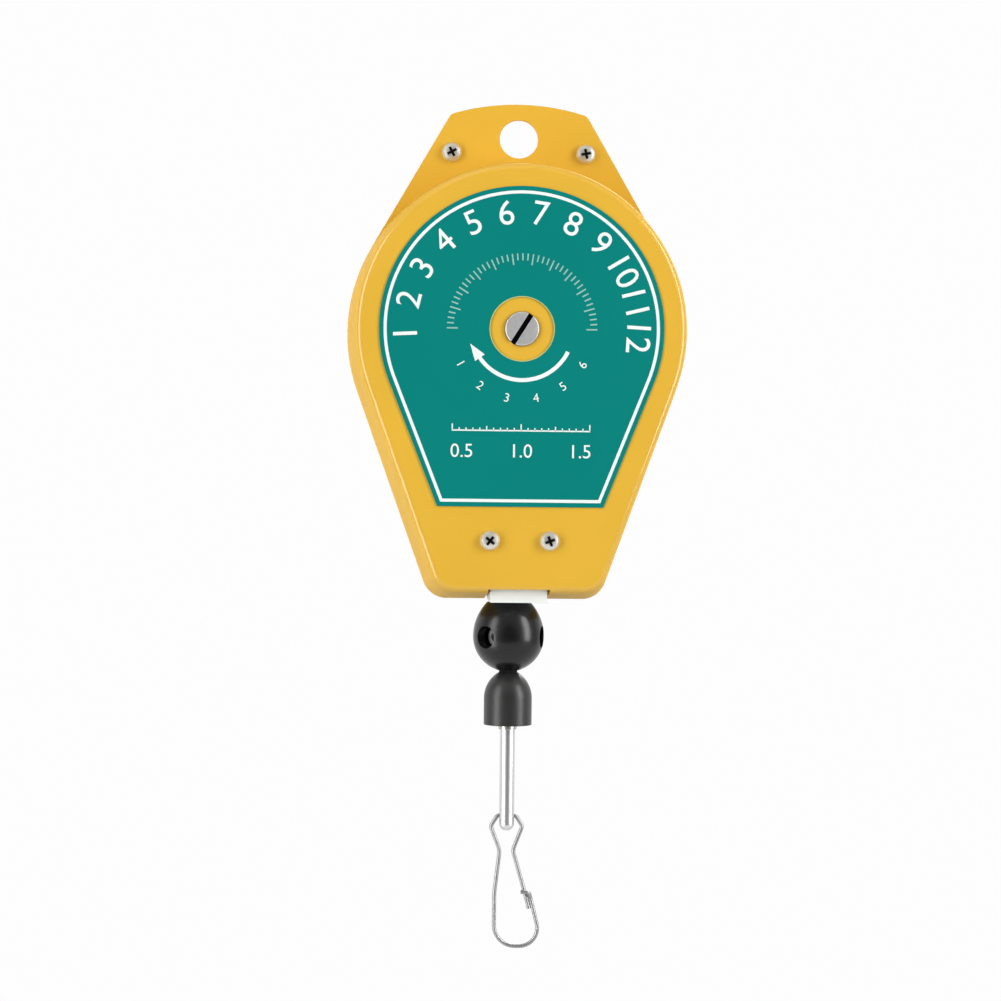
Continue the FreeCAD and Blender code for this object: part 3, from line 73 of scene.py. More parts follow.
def new_effect(name, numbers, colours=(), vectors=(), puts_out=()):
    """An empty shader group with its named inputs and outputs."""
    effect = bpy.data.node_groups.new(name, "ShaderNodeTree")
    for kind, words in (("NodeSocketFloat", numbers), ("NodeSocketColor", colours),
                        ("NodeSocketVector", vectors)):
        for word in words:
            effect.interface.new_socket(name=word, in_out="INPUT", socket_type=kind)
    for word, kind in puts_out:
        effect.interface.new_socket(name=word, in_out="OUTPUT", socket_type=kind)
    return effect, effect.nodes.new("NodeGroupInput"), effect.nodes.new("NodeGroupOutput")


# A Mix node's sockets where it mixes colours.
MIX_A, MIX_B, MIX_RESULT = 6, 7, 2


def colour_mix(tree, blend="MIX"):
    """A node that mixes two colours."""
    mix = tree.nodes.new("ShaderNodeMix")
    mix.data_type = "RGBA"
    mix.blend_type = blend
    return mix


def sum_of(tree, operation):
    """A node that does one sum."""
    sum_node = tree.nodes.new("ShaderNodeMath")
    sum_node.operation = operation
    return sum_node


def map_range(tree, **ends):
    """A node that maps one range to another, with the ends that differ from 0 and 1."""
    span = tree.nodes.new("ShaderNodeMapRange")
    for socket, amount in ends.items():
        span.inputs[socket.replace("_", " ")].default_value = amount
    return span


def surface_grain():
    """Fine unevenness: it varies the colour and the gloss, and raises the surface a little."""
    effect, given, result = new_effect(
        "surface_grain", ("Scale", "Colour Change", "Gloss", "Gloss Change", "Height", "Patch Scale"),
        colours=("Colour",), vectors=("Place",),
        puts_out=(("Colour", "NodeSocketColor"), ("Roughness", "NodeSocketFloat"),
                  ("Normal", "NodeSocketVector")))
    fine = effect.nodes.new("ShaderNodeTexNoise")
    fine.inputs["Detail"].default_value = 3.0
    patches = effect.nodes.new("ShaderNodeTexNoise")
    patches.inputs["Detail"].default_value = 4.0
    shade = colour_mix(effect, "MULTIPLY")
    spread = map_range(effect, To_Min=0.72, To_Max=1.12)
    gloss = map_range(effect)
    low = sum_of(effect, "SUBTRACT")
    high = sum_of(effect, "ADD")
    bump = effect.nodes.new("ShaderNodeBump")
    bump.inputs["Strength"].default_value = 1.0
    link = effect.links.new
    link(given.outputs["Place"], fine.inputs["Vector"])
    link(given.outputs["Place"], patches.inputs["Vector"])
    link(given.outputs["Scale"], fine.inputs["Scale"])
    link(given.outputs["Patch Scale"], patches.inputs["Scale"])
    link(patches.outputs["Fac"], spread.inputs["Value"])
    link(given.outputs["Colour Change"], shade.inputs["Factor"])
    link(given.outputs["Colour"], shade.inputs[MIX_A])
    link(spread.outputs["Result"], shade.inputs[MIX_B])
    link(shade.outputs[MIX_RESULT], result.inputs["Colour"])
    link(given.outputs["Gloss"], low.inputs[0])
    link(given.outputs["Gloss Change"], low.inputs[1])
    link(given.outputs["Gloss"], high.inputs[0])
    link(given.outputs["Gloss Change"], high.inputs[1])
    link(low.outputs[0], gloss.inputs["To Min"])
    link(high.outputs[0], gloss.inputs["To Max"])
    link(patches.outputs["Fac"], gloss.inputs["Value"])
    link(gloss.outputs["Result"], result.inputs["Roughness"])
    link(fine.outputs["Fac"], bump.inputs["Height"])
    link(given.outputs["Height"], bump.inputs["Distance"])
    link(bump.outputs["Normal"], result.inputs["Normal"])
    return effect


GRAIN = surface_grain()


def grained(name, colour, roughness, scale, height, colour_change=0.5, gloss_change=0.06,
            patch_scale=60.0, stretch=(1.0, 1.0, 1.0), **sockets):
    """A finish whose colour, gloss and surface vary with the grain group."""
    finish, tree, shader = new_finish(name, colour, roughness, **sockets)
    place = tree.nodes.new("ShaderNodeTexCoord")
    run = tree.nodes.new("ShaderNodeMapping")
    run.inputs["Scale"].default_value = stretch
    grain = tree.nodes.new("ShaderNodeGroup")
    grain.node_tree = GRAIN
    grain.inputs["Scale"].default_value = scale
    grain.inputs["Colour Change"].default_value = colour_change
    grain.inputs["Gloss"].default_value = roughness
    grain.inputs["Gloss Change"].default_value = gloss_change
    grain.inputs["Height"].default_value = height
    grain.inputs["Patch Scale"].default_value = patch_scale
    grain.inputs["Colour"].default_value = (*colour, 1.0)
    link = tree.links.new
    link(place.outputs["Object"], run.inputs["Vector"])
    link(run.outputs["Vector"], grain.inputs["Place"])
    link(grain.outputs["Colour"], shader.inputs["Base Color"])
    link(grain.outputs["Roughness"], shader.inputs["Roughness"])
    link(grain.outputs["Normal"], shader.inputs["Normal"])
    return finish


def coat(finish, *names):
    """Puts one finish on CAD nodes that keep their own shape."""
    for name in names:
        mesh = nodes[name].data
        mesh.materials.clear()
        mesh.materials.append(finish)


def taken_over(name, node_name, finish, body, edge_round, crisp=28.0, steps=2, meets_at=None):
    """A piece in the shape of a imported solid, with its sharp edges broken by a small rounding and
    its curves shaded smooth. It is worked on a thousand times larger, in millimetres, because
    small roundings come out wrong. Edges at the level where it meets its neighbour stay sharp."""
    merge_within, nearly_flat, same_level = 0.002, math.radians(0.4), 0.05
    shape = bmesh.new()
    shape.from_mesh(nodes[node_name].data)
    bmesh.ops.scale(shape, vec=(1 / MM, 1 / MM, 1 / MM), verts=shape.verts)
    bmesh.ops.remove_doubles(shape, verts=shape.verts, dist=merge_within)
    bmesh.ops.dissolve_limit(shape, angle_limit=nearly_flat, verts=shape.verts, edges=shape.edges)
    edges = [edge for edge in shape.edges
             if len(edge.link_faces) == 2 and edge.calc_face_angle(0.0) > math.radians(crisp)]
    if meets_at is not None:
        for edge in edges:
            edge.smooth = any(abs(corner.co.z - meets_at / MM) > same_level for corner in edge.verts)
        edges = [edge for edge in edges if edge.smooth]
    bmesh.ops.bevel(shape, geom=edges, offset=edge_round / MM, offset_type="OFFSET", segments=steps,
                    profile=0.5, affect="EDGES", clamp_overlap=True, material=-1)
    many_sided = [face for face in shape.faces if len(face.verts) > 4]
    bmesh.ops.triangulate(shape, faces=many_sided)
    bmesh.ops.scale(shape, vec=(MM, MM, MM), verts=shape.verts)
    mesh = bpy.data.meshes.new(name)
    shape.to_mesh(mesh)
    shape.free()
    mesh.materials.append(finish)
    for face in mesh.polygons:
        face.use_smooth = True
    piece = bpy.data.objects.new(name, mesh)
    bpy.context.scene.collection.objects.link(piece)
    flats = piece.modifiers.new("flat_faces", "WEIGHTED_NORMAL")
    flats.mode = "FACE_AREA"
    flats.weight = 80
    flats.keep_sharp = True
    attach(piece, body)
    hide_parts(node_name)


casing_enamel = grained("casing_enamel", (0.78, 0.455, 0.0445), 0.55, scale=420.0, height=0.00002,
                        colour_change=0.30, patch_scale=35.0, Specular_IOR_Level=0.0,
                        Coat_Weight=0.16, Coat_IOR=3.6, Coat_Roughness=0.14)
taken_over("casing_bowl", "front_shell", casing_enamel, "housing", 0.14 * MM)
taken_over("casing_back", "back_plate", casing_enamel, "housing", 0.14 * MM)

# ---------------------------------------------------------------------------------------------
# Label. A printed film stuck to the front: green ground, a white border line and a curved arrow
# that shows which way to wind. Round the arrow stand plain numbers, ticks and a load scale.

label_low, label_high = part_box("front_label")
label_radius = (label_high.x - label_low.x) / 2
dial_centre = Vector(((label_high.x + label_low.x) / 2, label_low.y, label_high.z - label_radius))
label_foot = label_low.z - dial_centre.z
label_side = math.radians(21.6)
ink_wall = 0.04 * MM
label_film = grained("label_film", (0.0010, 0.207, 0.182), 0.42, scale=700.0, height=0.000006,
                     colour_change=0.22, patch_scale=28.0, Specular_IOR_Level=0.1)
coat(label_film, "front_label")
white_ink = grained("white_ink", (0.84, 0.90, 0.87), 0.45, scale=900.0, height=0.000004,
                    colour_change=0.12, patch_scale=80.0, Specular_IOR_Level=0.3)


def shown(name, shape, finish, smooth=True):
    """Turns a bmesh into a piece of the scene, with its faces outwards."""
    bmesh.ops.remove_doubles(shape, verts=shape.verts, dist=1e-7)
    bmesh.ops.recalc_face_normals(shape, faces=shape.faces)
    mesh = bpy.data.meshes.new(name)
    shape.to_mesh(mesh)
    shape.free()
    for face in mesh.polygons:
        face.use_smooth = smooth
    piece = bpy.data.objects.new(name, mesh)
    bpy.context.scene.collection.objects.link(piece)
    mesh.materials.append(finish)
    return piece


def soften(piece, angle=35.0):
    """Keeps edges sharper than the angle crisp while the rest is shaded smooth."""
    sharp = bmesh.new()
    sharp.from_mesh(piece.data)
    for edge in sharp.edges:
        if len(edge.link_faces) == 2 and edge.calc_face_angle(0.0) > math.radians(angle):
            edge.smooth = False
    sharp.to_mesh(piece.data)
    sharp.free()
    return piece


def corners_of(grown):
    """The corners among what a bmesh operator has made."""
    return [part for part in grown["geom"] if isinstance(part, bmesh.types.BMVert)]


def edges_of(grown):
    """The edges among what a bmesh operator has made."""
    return [part for part in grown["geom"] if isinstance(part, bmesh.types.BMEdge)]


def printed(name, shape, ink=white_ink):
    """Gives flat print its thickness, towards the front, and lays it on the label."""
    bmesh.ops.translate(shape, vec=dial_centre, verts=shape.verts)
    grown = bmesh.ops.extrude_face_region(shape, geom=list(shape.faces))
    bmesh.ops.translate(shape, vec=(0, -ink_wall, 0), verts=corners_of(grown))
    piece = shown(name, shape, ink, smooth=False)
    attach(piece, "housing")


def round_front(radius, angle):
    """A place round a front-to-back axis: its angle is counted from the right, against the clock."""
    return Vector((radius * math.cos(angle), 0, radius * math.sin(angle)))


def arc_band(shape, inner, outer, start, sweep, steps):
    """A flat band along an arc, spun from its end edge. Returns the edges at its two ends."""
    ends = [shape.verts.new(round_front(inner, start)), shape.verts.new(round_front(outer, start))]
    first = shape.edges.new(ends)
    spun = bmesh.ops.spin(shape, geom=ends + [first], cent=(0, 0, 0), axis=(0, -1, 0),
                          angle=sweep, steps=steps, use_duplicate=False)
    last = next(part for part in spun["geom_last"] if isinstance(part, bmesh.types.BMEdge))
    return first, last


border = bmesh.new()
border_outside, border_inside = label_radius - 1.3 * MM, label_radius - 2.2 * MM
border_middle = (border_outside + border_inside) / 2
first, last = arc_band(border, border_inside, border_outside, -label_side,
                       math.pi + 2 * label_side, 96)


def foot_corner(radius, side):
    """Where a border line's straight side meets its foot."""
    inset = label_radius - radius
    up = label_foot + inset
    return Vector((side * (radius + up * math.sin(label_side)) / math.cos(label_side), 0, up))


foot_edges = []
for end, side in ((first, 1), (last, -1)):
    grown = bmesh.ops.extrude_edge_only(border, edges=[end])
    for corner in corners_of(grown):
        radius = border_outside if corner.co.length > border_middle else border_inside
        corner.co = foot_corner(radius, side)
    foot_edges.append(edges_of(grown)[0])
bmesh.ops.bridge_loops(border, edges=foot_edges)
printed("label_border", border)

# The film's bare edge round the window that is punched in it for the spindle.
window_edge = bmesh.new()
window_radius = 9.25 * MM
arc_band(window_edge, window_radius + 0.02 * MM, window_radius + 0.24 * MM, 0.0, 2 * math.pi, 72)
bare_film = grained("bare_film", (0.62, 0.62, 0.22), 0.4, scale=900.0, height=0.000004,
                    colour_change=0.2)
printed("label_window_edge", window_edge, bare_film)

# Arrow: a stroke with a pointed head, from lower right round the bottom to the left.
arrow = bmesh.new()
arrow_radius, stroke = 14.9 * MM, 1.15 * MM
head_length, head_half_width = 5.0 * MM, 1.7 * MM
arrow_start, arrow_neck = math.radians(-26), math.radians(-145)
arc_band(arrow, arrow_radius - stroke / 2, arrow_radius + stroke / 2, arrow_start,
         arrow_neck - arrow_start, 40)
neck = round_front(arrow_radius, arrow_neck)
heading = Vector((neck.z, 0, -neck.x)).normalized()
outwards = neck.normalized()
tip = neck + heading * head_length
arrow.faces.new([arrow.verts.new(spot) for spot in (
    neck + outwards * head_half_width, tip, neck - outwards * head_half_width,
    neck - outwards * stroke / 2, neck + outwards * stroke / 2)])
printed("label_arrow", arrow)


def lay_number(joined, word, height, place):
    """Adds one plain number to a mesh, stood up to face the front and then put in its place."""
    letters = bpy.data.curves.new("number", "FONT")
    letters.body = word
    letters.size = height
    letters.align_x, letters.align_y = "CENTER", "CENTER"
    letters.resolution_u = 4
    holder = bpy.data.objects.new("number", letters)
    bpy.context.scene.collection.objects.link(holder)
    bpy.context.view_layer.update()
    flat = bpy.data.meshes.new_from_object(holder)
    bpy.data.objects.remove(holder)
    flat.transform(place @ Matrix.Rotation(math.pi / 2, 4, "X"))
    joined.from_mesh(flat)
    bpy.data.meshes.remove(flat)


def numbers_round(name, radius, height, words, start, end, feet_in=True):
    """Plain numbers set round an arc, with their feet towards its centre or away from it."""
    joined = bmesh.new()
    for count, word in enumerate(words):
        angle = start + (end - start) * count / (len(words) - 1)
        lean = math.pi / 2 - angle if feet_in else -math.pi / 2 - angle
        lay_number(joined, word, height,
                   Matrix.Translation(round_front(radius, angle)) @ Matrix.Rotation(lean, 4, "Y"))
    bmesh.ops.remove_doubles(joined, verts=joined.verts, dist=1e-7)
    printed(name, joined)


# Numbers round the dial, and smaller ones under the arrow.
dial_radius, dial_height = 33.6 * MM, 10.2 * MM
turn_radius, turn_height = 20.6 * MM, 3.6 * MM
numbers_round("dial_numbers", dial_radius, dial_height, [str(number) for number in range(1, 13)],
              math.radians(183), math.radians(-3))
numbers_round("turn_numbers", turn_radius, turn_height, [str(number) for number in range(1, 7)],
              math.radians(-150), math.radians(-30), feet_in=False)


def tick(shape, foot, head, width):
    """One short straight line of print between two places."""
    side = (head - foot).cross(Vector((0, 1, 0))).normalized() * width / 2
    spots = (foot - side, head - side, head + side, foot + side)
    shape.faces.new([shape.verts.new(spot) for spot in spots])


# Faded ticks in a half circle above the spindle, with every fourth one longer.
ticks = bmesh.new()
faded_ink = grained("faded_ink", (0.30, 0.55, 0.48), 0.45, scale=900.0, height=0.000004,
                    colour_change=0.5, patch_scale=300.0)
tick_spaces, tick_foot, tick_head, tick_width = 44, 19.9 * MM, 21.9 * MM, 0.4 * MM
for count in range(tick_spaces + 1):
    longer = 1.2 * MM if count % 4 == 0 else 0.0
    angle = math.radians(180 - 180 * count / tick_spaces)
    tick(ticks, round_front(tick_foot - longer, angle), round_front(tick_head, angle), tick_width)
printed("dial_ticks", ticks, faded_ink)

# Load scale below the arrow: a rule with ticks up from it, and plain numbers under it.
load_scale = bmesh.new()
rule_level, rule_half, rule_overhang = -29.6 * MM, 20.0 * MM, 0.2 * MM
rule_width, rule_tick_width, half_spaces = 0.4 * MM, 0.35 * MM, 10
tick(load_scale, Vector((-rule_half - rule_overhang, 0, rule_level)),
     Vector((rule_half + rule_overhang, 0, rule_level)), rule_width)
for count in range(2 * half_spaces + 1):
    foot = Vector((rule_half * (count / half_spaces - 1), 0, rule_level))
    rise = (1.9 if count % 10 == 0 else 1.3 if count % 5 == 0 else 0.8) * MM
    tick(load_scale, foot, foot + Vector((0, 0, rise)), rule_tick_width)
printed("load_scale", load_scale)
load_numbers = bmesh.new()
load_height, load_drop, load_spread = 5.6 * MM, 6.1 * MM, 0.86 * rule_half
for count, word in enumerate(("0.5", "1.0", "1.5")):
    place = Matrix.Translation((load_spread * (count - 1), 0, rule_level - load_drop))
    lay_number(load_numbers, word, load_height, place)
printed("load_numbers", load_numbers)

# ---------------------------------------------------------------------------------------------
# Cable guide. A block of natural nylon in the casing's mouth, with a flared channel that turns
# the cable from the drum down to the hook.

guide_nylon = grained("guide_nylon", (0.86, 0.885, 0.85), 0.45, scale=300.0, height=0.00002,
                      colour_change=0.2, Subsurface_Weight=0.08, Subsurface_Scale=0.002)
taken_over("guide_block", "cable_guide", guide_nylon, "housing", 0.25 * MM)

# ---------------------------------------------------------------------------------------------
# Screws. Zinc-plated pan-head screws with a cross recess and a rolled thread, two through the
# flange at the top and two through the front and the guide. A hexagon nut behind the back plate
# holds each one.

zinc_plate = grained("zinc_plate", (0.56, 0.555, 0.53), 0.30, scale=1500.0, height=0.000006,
                     colour_change=0.5, metallic=1.0, patch_scale=400.0)
head_plate = grained("head_plate", (0.74, 0.73, 0.68), 0.30, scale=1500.0, height=0.00001,
                     colour_change=0.6, metallic=0.7, patch_scale=700.0)
# Painted shade: the cross recesses get a near-black finish that stands in for the shade deep in them.
recess_painted_shade = grained("recess_painted_shade", (0.035, 0.032, 0.026), 0.6, scale=1500.0, height=0.00001,
                       colour_change=0.6, patch_scale=900.0, Specular_IOR_Level=0.2)


def profile_turned(spots):
    """A profile of (radius, along), spun round the Z axis and closed at both ends."""
    shape = bmesh.new()
    corners = [shape.verts.new((radius, 0, along)) for radius, along in spots]
    runs = [shape.edges.new(pair) for pair in zip(corners, corners[1:])]
    bmesh.ops.spin(shape, geom=corners + runs, cent=(0, 0, 0), axis=(0, 0, 1),
                   angle=2 * math.pi, steps=48, use_merge=True)
    bmesh.ops.remove_doubles(shape, verts=shape.verts, dist=1e-7)
    return shape


def cut_away(piece, cutter, keep="DIFFERENCE"):
    """Takes a closed cutter out of a piece, or keeps only what both hold, and makes the result its
    mesh. The cut is made a thousand times larger, because small cuts come out wrong."""
    for enlarged in (piece, cutter):
        enlarged.data.transform(Matrix.Scale(1 / MM, 4))
    cut = piece.modifiers.new("cut", "BOOLEAN")
    cut.use_self = True
    cut.operation = keep
    cut.solver = "EXACT"
    cut.material_mode = "TRANSFER"
    cut.object = cutter
    bpy.context.view_layer.update()
    finished = bpy.data.meshes.new_from_object(
        piece.evaluated_get(bpy.context.evaluated_depsgraph_get()))
    finished.transform(Matrix.Scale(MM, 4))
    piece.modifiers.clear()
    old = piece.data
    piece.data = finished
    bpy.data.meshes.remove(old)
    bpy.data.objects.remove(cutter)
    return piece


def cross_cutter(width, length, depth):
    """The cross recess's tool: two blades that taper downwards from a little above the origin."""
    foot_taper, overshoot = (0.45, 0.7, 1.0), 0.3 * MM
    blades = bmesh.new()
    for quarter in (0.0, math.pi / 2):
        block = bmesh.ops.create_cube(blades, size=1.0)["verts"]
        bmesh.ops.scale(blades, vec=(length, width, depth), verts=block)
        bmesh.ops.translate(blades, vec=(0, 0, -depth / 2), verts=block)
        foot = [corner for corner in block if corner.co.z < -depth / 2]
        top = [corner for corner in block if corner not in foot]
        bmesh.ops.scale(blades, vec=foot_taper, verts=foot)
        bmesh.ops.translate(blades, vec=(0, 0, overshoot), verts=top)
        bmesh.ops.rotate(blades, cent=(0, 0, 0), matrix=Matrix.Rotation(quarter, 3, "Z"), verts=block)
    return blades


pan_head_radius = 2.9 * MM


def pan_screws(name, node_name, turns):
    """Screws in the places of a CAD node's screws, heads to the front."""
    low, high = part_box(node_name)
    head_height, thread_radius, thread_depth, pitch = 1.9 * MM, 1.42 * MM, 0.25 * MM, 0.5 * MM
    length = high.y - low.y
    outline = [(0, 0), (0.8 * MM, -0.03 * MM), (1.6 * MM, -0.14 * MM), (2.3 * MM, -0.42 * MM),
               (2.75 * MM, -0.9 * MM), (pan_head_radius, -1.35 * MM), (pan_head_radius, -head_height),
               (thread_radius, -head_height)]
    level = head_height + pitch
    while level < length - pitch:
        outline += [(thread_radius, -level), (thread_radius - thread_depth, -level - pitch / 2)]
        level += pitch
    outline += [(thread_radius - 0.3 * MM, -length), (0, -length)]
    joined = bmesh.new()
    for side, turn in ((low.x + pan_head_radius, turns[0]), (high.x - pan_head_radius, turns[1])):
        place = Matrix.Translation((side, low.y, (low.z + high.z) / 2))
        screw = shown("screw_blank", profile_turned(outline), head_plate)
        # The cutter's faces carry the painted shade into the cross recess.
        tool = shown("screw_tool", cross_cutter(0.85 * MM, 3.5 * MM, 1.5 * MM), recess_painted_shade)
        cut_away(screw, tool)
        screw.data.transform(place @ Matrix.Rotation(math.pi / 2, 4, "X")
                             @ Matrix.Rotation(turn, 4, "Z"))
        joined.from_mesh(screw.data)
        bpy.data.objects.remove(screw)
    screws = soften(shown(name, joined, head_plate), 25.0)
    screws.data.materials.append(recess_painted_shade)
    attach(screws, "housing")
    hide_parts(node_name)


pan_screws("flange_screws", "top_screws", (0.5, 0.2))
pan_screws("front_screws", "guide_screws", (0.9, 0.35))


def six_sided_bar(corner_radius, foot, height, turn=0.0):
    """A six-sided bar that stands up from a level on the Z axis."""
    bar = bmesh.new()
    rim = bmesh.ops.create_circle(bar, cap_ends=True, radius=corner_radius, segments=6)["verts"]
    bmesh.ops.rotate(bar, cent=(0, 0, 0), matrix=Matrix.Rotation(turn, 3, "Z"), verts=rim)
    bmesh.ops.translate(bar, vec=(0, 0, foot), verts=rim)
    grown = bmesh.ops.extrude_face_region(bar, geom=list(bar.faces))
    bmesh.ops.translate(bar, vec=(0, 0, height), verts=corners_of(grown))
    return bar


def hex_nut(across_flats, height, bore, turn):
    """A nut with its outer corners chamfered and a countersunk bore, standing up from the origin."""
    chamfer, sink_depth, sink_width = 0.42 * MM, 0.3 * MM, 0.35 * MM
    edge, sink = across_flats / 2, bore + sink_width
    blank = shown("nut_blank", six_sided_bar(across_flats / math.sqrt(3), 0.0, height, turn), zinc_plate)
    dome = profile_turned([(0, -MM), (edge * 1.3, -MM), (edge * 1.3, height - chamfer),
                           (edge * 0.97, height), (0, height)])
    cut_away(blank, shown("nut_dome", dome, zinc_plate), keep="INTERSECT")
    drill = profile_turned([(0, -MM), (bore, -MM), (bore, height - sink_depth),
                            (sink, height + 0.05 * MM), (sink, height + MM), (0, height + MM)])
    return cut_away(blank, shown("nut_drill", drill, zinc_plate))


nuts = bmesh.new()
plate_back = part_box("back_plate")[1].y
nut_flats, nut_height, nut_bore = 5.5 * MM, 2.4 * MM, 1.47 * MM
for node_name, turns in (("top_screws", (0.2, 0.75)), ("guide_screws", (0.5, 0.05))):
    screws_low, screws_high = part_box(node_name)
    for side, turn in ((screws_low.x + pan_head_radius, turns[0]),
                       (screws_high.x - pan_head_radius, turns[1])):
        nut = hex_nut(nut_flats, nut_height, nut_bore, turn)
        nut.data.transform(Matrix.Translation((side, plate_back, (screws_low.z + screws_high.z) / 2))
                           @ Matrix.Rotation(-math.pi / 2, 4, "X"))
        nuts.from_mesh(nut.data)
        bpy.data.objects.remove(nut)
hex_nuts = soften(shown("hex_nuts", nuts, zinc_plate), 20.0)
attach(hex_nuts, "housing")
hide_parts("nuts")

# ---------------------------------------------------------------------------------------------
# Drum and cover. Two nylon mouldings that the cable winds on, screwed together round the flat
# spiral spring, on bronze bushes between fibre washers. All of it is shut inside the casing, but
# for the rear bush, which sits in the back plate.

drum_nylon = grained("drum_nylon", (0.60, 0.585, 0.53), 0.48, scale=350.0, height=0.00003,
                     colour_change=0.3)
coat(drum_nylon, "cable_drum", "drum_cover")
bush_bronze = grained("bush_bronze", (0.50, 0.30, 0.11), 0.40, scale=900.0, height=0.00001,
                      metallic=1.0)
coat(bush_bronze, "drum_bushes")
taken_over("bronze_bush", "rear_bush", bush_bronze, "housing", 0.12 * MM)
washer_fibre = grained("washer_fibre", (0.28, 0.11, 0.05), 0.75, scale=800.0, height=0.00003)
coat(washer_fibre, "thrust_washers")
blued_spring = grained("blued_spring", (0.11, 0.11, 0.13), 0.32, scale=900.0, height=0.000008,
                       metallic=1.0, stretch=(1.0, 1.0, 6.0))
coat(blued_spring, "power_spring")
coat(zinc_plate, "drum_cover_screws", "cable_anchor", "spring_anchor", "stopper_sleeve",
     "cable_crimp", "swivel_barrel")

# ---------------------------------------------------------------------------------------------
# Spindle and ratchet. The spindle is turned steel with a driver slot milled across its bright
# front end. Its toothed wheel, the stamped pawl and the split clip sit on the back plate.


def slot_shade():
    """Painted shade: darkens the places behind a front face, down to the foot of a slot in it."""
    effect, given, result = new_effect(
        "slot_shade", ("Face", "Depth"), colours=("Colour",), vectors=("Place",),
        puts_out=(("Colour", "NodeSocketColor"),))
    parts = effect.nodes.new("ShaderNodeSeparateXYZ")
    behind = sum_of(effect, "SUBTRACT")
    sunk = map_range(effect, From_Min=0.18 * MM, From_Max=0.40 * MM)
    deep = sum_of(effect, "LESS_THAN")
    both = sum_of(effect, "MULTIPLY")
    shade = colour_mix(effect)
    shade.inputs[MIX_B].default_value = (0.006, 0.006, 0.006, 1.0)
    link = effect.links.new
    link(given.outputs["Place"], parts.inputs["Vector"])
    link(parts.outputs["Y"], behind.inputs[0])
    link(given.outputs["Face"], behind.inputs[1])
    link(behind.outputs[0], sunk.inputs["Value"])
    link(behind.outputs[0], deep.inputs[0])
    link(given.outputs["Depth"], deep.inputs[1])
    link(sunk.outputs["Result"], both.inputs[0])
    link(deep.outputs[0], both.inputs[1])
    link(both.outputs[0], shade.inputs["Factor"])
    link(given.outputs["Colour"], shade.inputs[MIX_A])
    link(shade.outputs[MIX_RESULT], result.inputs["Colour"])
    return effect


bright_steel = grained("bright_steel", (0.66, 0.66, 0.655), 0.46, scale=1400.0, height=0.00003,
                       metallic=0.75, stretch=(1.0, 5.0, 1.0), colour_change=0.6, patch_scale=900.0)
slot_depth = 1.9 * MM
steel_nodes, link = bright_steel.node_tree.nodes, bright_steel.node_tree.links.new
# Painted shade in the spindle's driver slot: its walls and foot are darkened to near black by depth.
slot_painted_shade = steel_nodes.new("ShaderNodeGroup")
slot_painted_shade.node_tree = slot_shade()
slot_painted_shade.inputs["Face"].default_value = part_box("spindle")[0].y
slot_painted_shade.inputs["Depth"].default_value = slot_depth
link(steel_nodes["Texture Coordinate"].outputs["Object"], slot_painted_shade.inputs["Place"])
link(steel_nodes["Group"].outputs["Colour"], slot_painted_shade.inputs["Colour"])
link(slot_painted_shade.outputs["Colour"], steel_nodes["Principled BSDF"].inputs["Base Color"])
taken_over("slotted_spindle", "spindle", bright_steel, "spindle", 0.16 * MM)
# A darker steel for the wheel and pawl. On the clamp screws it also serves as painted shade.
turned_steel_and_hole_shade = grained("turned_steel_and_hole_shade", (0.36, 0.36, 0.355), 0.36, scale=900.0, height=0.000012,
                       metallic=1.0, stretch=(1.0, 5.0, 1.0), colour_change=0.5, patch_scale=300.0)
taken_over("toothed_wheel", "ratchet_wheel", turned_steel_and_hole_shade, "spindle", 0.12 * MM)
taken_over("stamped_pawl", "pawl", turned_steel_and_hole_shade, "pawl", 0.14 * MM)
taken_over("split_clip", "retaining_clip", blued_spring, "spindle", 0.08 * MM)
taken_over("pivot_rivet", "pawl_pivot", zinc_plate, "housing", 0.22 * MM)
taken_over("post_rivet", "spring_post", zinc_plate, "housing", 0.16 * MM)

# ---------------------------------------------------------------------------------------------
# Pawl spring. A wound extension spring of thin wire: its lower eye goes through the hole in the
# pawl's tab, its coil stretches as the pawl lifts, and its upper eye sits in the post's groove.

post_low, post_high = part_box("spring_post")
spring_low, spring_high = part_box("pawl_spring")
spring_middle = Vector(((post_low.x + post_high.x) / 2, (spring_low.y + spring_high.y) / 2, 0))
spring_wire, coil_radius, coil_turns, turn_steps = 0.2 * MM, 1.4 * MM, 14, 20
tab_eye_radius, post_eye_radius, eye_gap = 1.2 * MM, 1.45 * MM, 0.1 * MM
tab_eye_level = spring_low.z + tab_eye_radius + spring_wire
post_eye_level = spring_high.z - post_eye_radius - spring_wire
coil_foot_level = tab_eye_level + tab_eye_radius + eye_gap
coil_top_level = post_eye_level - post_eye_radius - eye_gap


def round_wire(name, route, radius, finish):
    """A round wire along a route of places, as a closed mesh."""
    line = bpy.data.curves.new(name, "CURVE")
    line.dimensions = "3D"
    line.bevel_depth = radius
    line.bevel_resolution = 4
    line.use_fill_caps = True
    spline = line.splines.new("POLY")
    spline.points.add(len(route) - 1)
    for point, spot in zip(spline.points, route):
        point.co = (*spot, 1.0)
    holder = bpy.data.objects.new(name, line)
    bpy.context.scene.collection.objects.link(holder)
    bpy.context.view_layer.update()
    made = bmesh.new()
    tube = bpy.data.meshes.new_from_object(holder)
    made.from_mesh(tube)
    bpy.data.objects.remove(holder)
    bpy.data.meshes.remove(tube)
    return soften(shown(name, made, finish), 50.0)


def eye_round(level, radius, start, end):
    """The spring's eye: an arc about a front-to-back axis."""
    middle, steps = spring_middle + Vector((0, 0, level)), 30
    return [middle + round_front(radius, start + (end - start) * step / steps)
            for step in range(steps + 1)]


